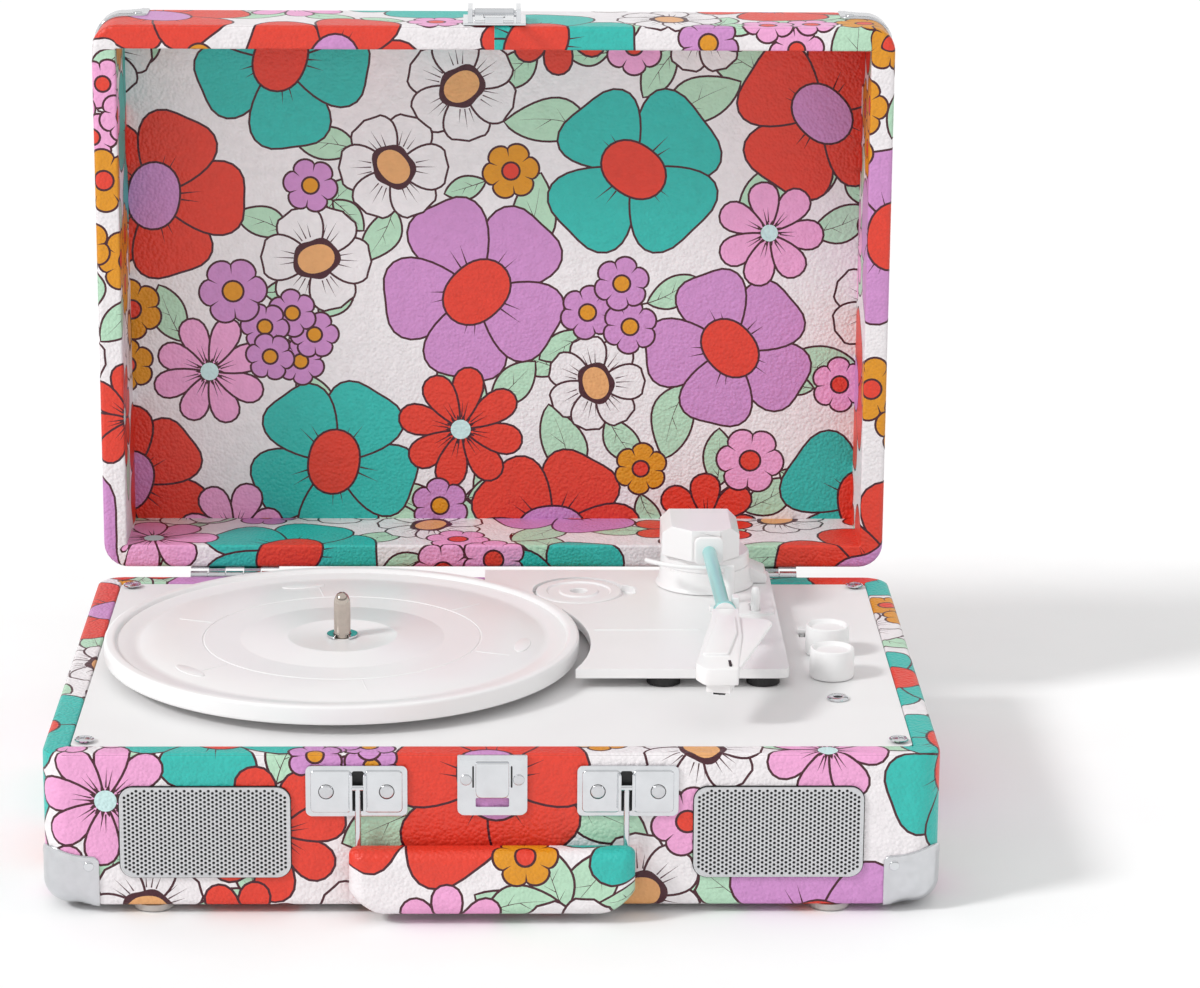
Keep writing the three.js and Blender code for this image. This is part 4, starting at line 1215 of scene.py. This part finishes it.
def tonearm():
    lift = next(j for j in frame["joints"] if j["name"] == "arm_lift")
    pivot = Vector(lift["pos_m"]) / MM
    ahead = Vector((-lift["axis"][1], lift["axis"][0], 0)).normalized()
    across = Vector((lift["axis"][0], lift["axis"][1], 0))
    turn = Matrix.Rotation(math.atan2(ahead.x, -ahead.y), 3, "Z")
    arm_column(pivot)
    refined("tonearm_yoke", WHITE, "white_plastic", 1.5, 3)
    tube = rod("tube", [pivot - ahead * 5.5, pivot + ahead * ARM_REACH], 3, AQUA, 32)
    front = [(0, -3), (4.4, -3), (4.9, -2.6), (4.9, -0.2), (4.4, 0.2), (0, 0.2)]
    collar = lathe("collar", [(r, ARM_REACH + z) for r, z in front], pivot, AQUA, 48, aimed(ahead))
    rim = [(0, 0), (4.3, 0), (4.6, 0.4), (4.6, 1.6), (0, 1.6)]
    ring = lathe("ring", [(r, ARM_REACH + z) for r, z in rim], pivot, WHITE, 48, aimed(ahead))
    axle = rod("axle", [pivot - across * 9, pivot + across * 9], 1.5, CHROME)
    block = rounded_rect(9.2, 17, 0.6, 3, 0, -12.6)
    socket = prism("socket", block, -3.4, 4.4, WHITE, 0.8, turn, pivot, segments=3)
    disc = rounded_rect(13, 13, 3, 5, 0, 0.5)
    flange = prism("flange", disc, 23.9, 26, WHITE, 0.9, turn @ UP_Y, pivot, segments=3)
    stands_for("tonearm_tube", merge("arm_tube", tube, collar, ring, axle, socket, flange), "aqua_paint")
    headshell(pivot, turn)
    refined("cartridge", WHITE, "white_plastic", 0.35)
    refined("stylus", RUBBER, "rubber", 0.15)
    refined("arm_rest", WHITE, "white_plastic", 0.5, 3)
    cue(pivot)


def arm_column(pivot):
    """Round column under the yoke, with a ramp beside it."""
    low, high, _ = box_mm("tonearm_base")
    z0, z1 = low.z, high.z
    profile = [(5.4, z0), (21.8, z0), (21.2, z0 + 0.5), (20.4, z0 + 2), (20, z0 + 5), (19.8, z0 + 8.8),
               (19.2, z0 + 9), (19.2, z0 + 9.4), (19.7, z0 + 9.6), (19.5, z1 - 0.8), (18.8, z1), (5.4, z1)]
    bell = lathe("bell", profile, (pivot.x, pivot.y, 0), WHITE, 96)
    x0, x1 = pivot.x + 8, high.x
    side = fillet([(x0, z0), (x1, z0), (x1, z0 + 4), (x0, z0 + 12)], [0, 0.6, 2, 0.5], 4, True)
    near, depth = -pivot.y - 14, 16.5
    ramp = prism("ramp", side, near, near + depth, WHITE, 0.8, UP_Y)
    stands_for("tonearm_base", merge("arm_column", bell, ramp), "white_plastic")


def cue(pivot):
    """Lift bar under the arm, on its post, and the lever that raises it."""
    low, high, _ = box_mm("cue_lift")

    def on_arc(degrees, z):
        a = math.radians(degrees)
        return pivot.x + LIFT_REACH * math.cos(a), pivot.y + LIFT_REACH * math.sin(a), z

    rail = rod("rail", [on_arc(-140 + 68 * k / 24, high.z - 1) for k in range(25)], 1, WHITE)
    post = rod("lift_stem", [on_arc(-75, low.z), on_arc(-75, high.z - 0.8)], 2.4, WHITE)
    stands_for("cue_lift", merge("lift_bar", rail, post), "white_plastic")
    low, high, c = box_mm("cue_lever")
    z0, z1 = low.z + 1, high.z
    profile = [(0, z0), (1.9, z0), (1.9, z1 - 3), (1.7, z1 - 1.4), (1.1, z1 - 0.3), (0, z1)]
    stem = lathe("stem", profile, (c.x, c.y, 0), WHITE, 32)
    axle = rod("axle", [(x, c.y, low.z + 1.2) for x in (low.x, high.x)], 1.1, WHITE)
    stands_for("cue_lever", merge("lever", stem, axle), "white_plastic")


def headshell(pivot, turn):
    """Slim sloping body with a thin triangular finger lift on its outer side."""
    rear, front = -118, -183

    def tapered(name, outline, top, bottom, bevel):
        """A plate whose faces slope from the first height at the rear to the second at the front."""
        rings = [[turn @ Vector((x, y, at_rear + (at_front - at_rear) * (rear - y) / (rear - front))) + pivot
                  for x, y in outline] for at_rear, at_front in (bottom, top)]
        return soften(loft(name, rings, WHITE), bevel, 3)

    body = fillet([(-5.6, rear), (-6.2, rear - 8), (-16.4, front + 6), (-13, front), (0.4, front),
                   (4.5, rear - 30), (5.4, rear)], [0.5, 6, 3, 3.5, 1, 8, 0.5], 3, True)
    cap = fillet([(-4, rear - 10), (-13.2, front + 14), (-2.6, front + 14), (2.6, rear - 28),
                  (3.2, rear - 10)], [1.5, 1.5, 1, 6, 1.5], 3, True)
    wing = fillet([(3, rear - 6), (2.5, rear - 30), (-1, front + 5), (1.6, front + 3), (18.4, rear - 13),
                   (16.8, rear - 9.5)], [0, 0, 0, 1, 1.5, 1.5], 3, True)
    parts = [tapered("shell", body, (2.6, -3), (-3.4, -10), 1.1),
             tapered("shell_top", cap, (3.5, -1.9), (0.5, -4.5), 0.7),
             tapered("finger_lift", wing, (1.2, -3.2), (-0.4, -4.8), 0.35)]
    # Painted shade: a black strip stands in for the shade in a groove near the headshell's front.
    groove_shade_outline = rounded_rect(1.1, 9, 0.3, 2, -2.6, front + 7)
    painted_groove_shade = prism("painted_groove_shade", groove_shade_outline, -3.2, -2.2, BLACK, turn=turn, at=pivot)
    stands_for("headshell", merge("shell_body", *parts, painted_groove_shade), "white_plastic")


def hardware():
    for side in ("left", "right"):
        for leaf in ("hinge_leaf_base", "hinge_leaf_lid"):
            refined(f"{leaf}_{side}", NICKEL, "satin_metal", 0.2)
        refined(f"hinge_pin_{side}", CHROME, "chrome", 0.15)
    refined("lid_latch_plate", CHROME, "chrome", 0.3)
    low = box_mm("lid_latch_plate")[0]
    # Painted shade: a black plate between the latch's ears stands in for the shade in its recess, behind the
    # black spring.
    recess_shade = prism("latch_recess_shade", rounded_rect(17, 13, 1, 3, 0, low.y + 9.5), low.z + 0.7, low.z + 1.1, BLACK)
    spring = rod("spring", [(x, low.y + 10.5, low.z + 3) for x in (-8.4, 8.4)], 1.9, BLACK)
    settle(merge("latch_spring_and_shade", recess_shade, spring), "lid", "chrome")
    refined("latch_hasp", CHROME, "chrome", 0.3)
    refined("rear_jack_panel", BLACK, "black_plastic", 0.35)
    refined("power_inlet", BLACK, "black_plastic", 0.3)


def inner_parts():
    """Materials on the parts inside the case, which keep their own form."""
    paints = {"speaker_left": BLACK, "speaker_right": BLACK, "circuit_board": SOLDER_MASK, "motor": NICKEL,
              "motor_pulley": BRASS, "drive_belt": RUBBER}
    for node, material in paints.items():
        slots = frame["nodes"][node].data.materials
        for k in range(len(slots)):
            slots[k] = material


camera()
studio()
case()
lid()
grilles()
brackets()
catch()
handle()
feet()
platter()
spindle()
knobs()
screws()
small_controls()
adapter()
deck()
tonearm()
hardware()
inner_parts()
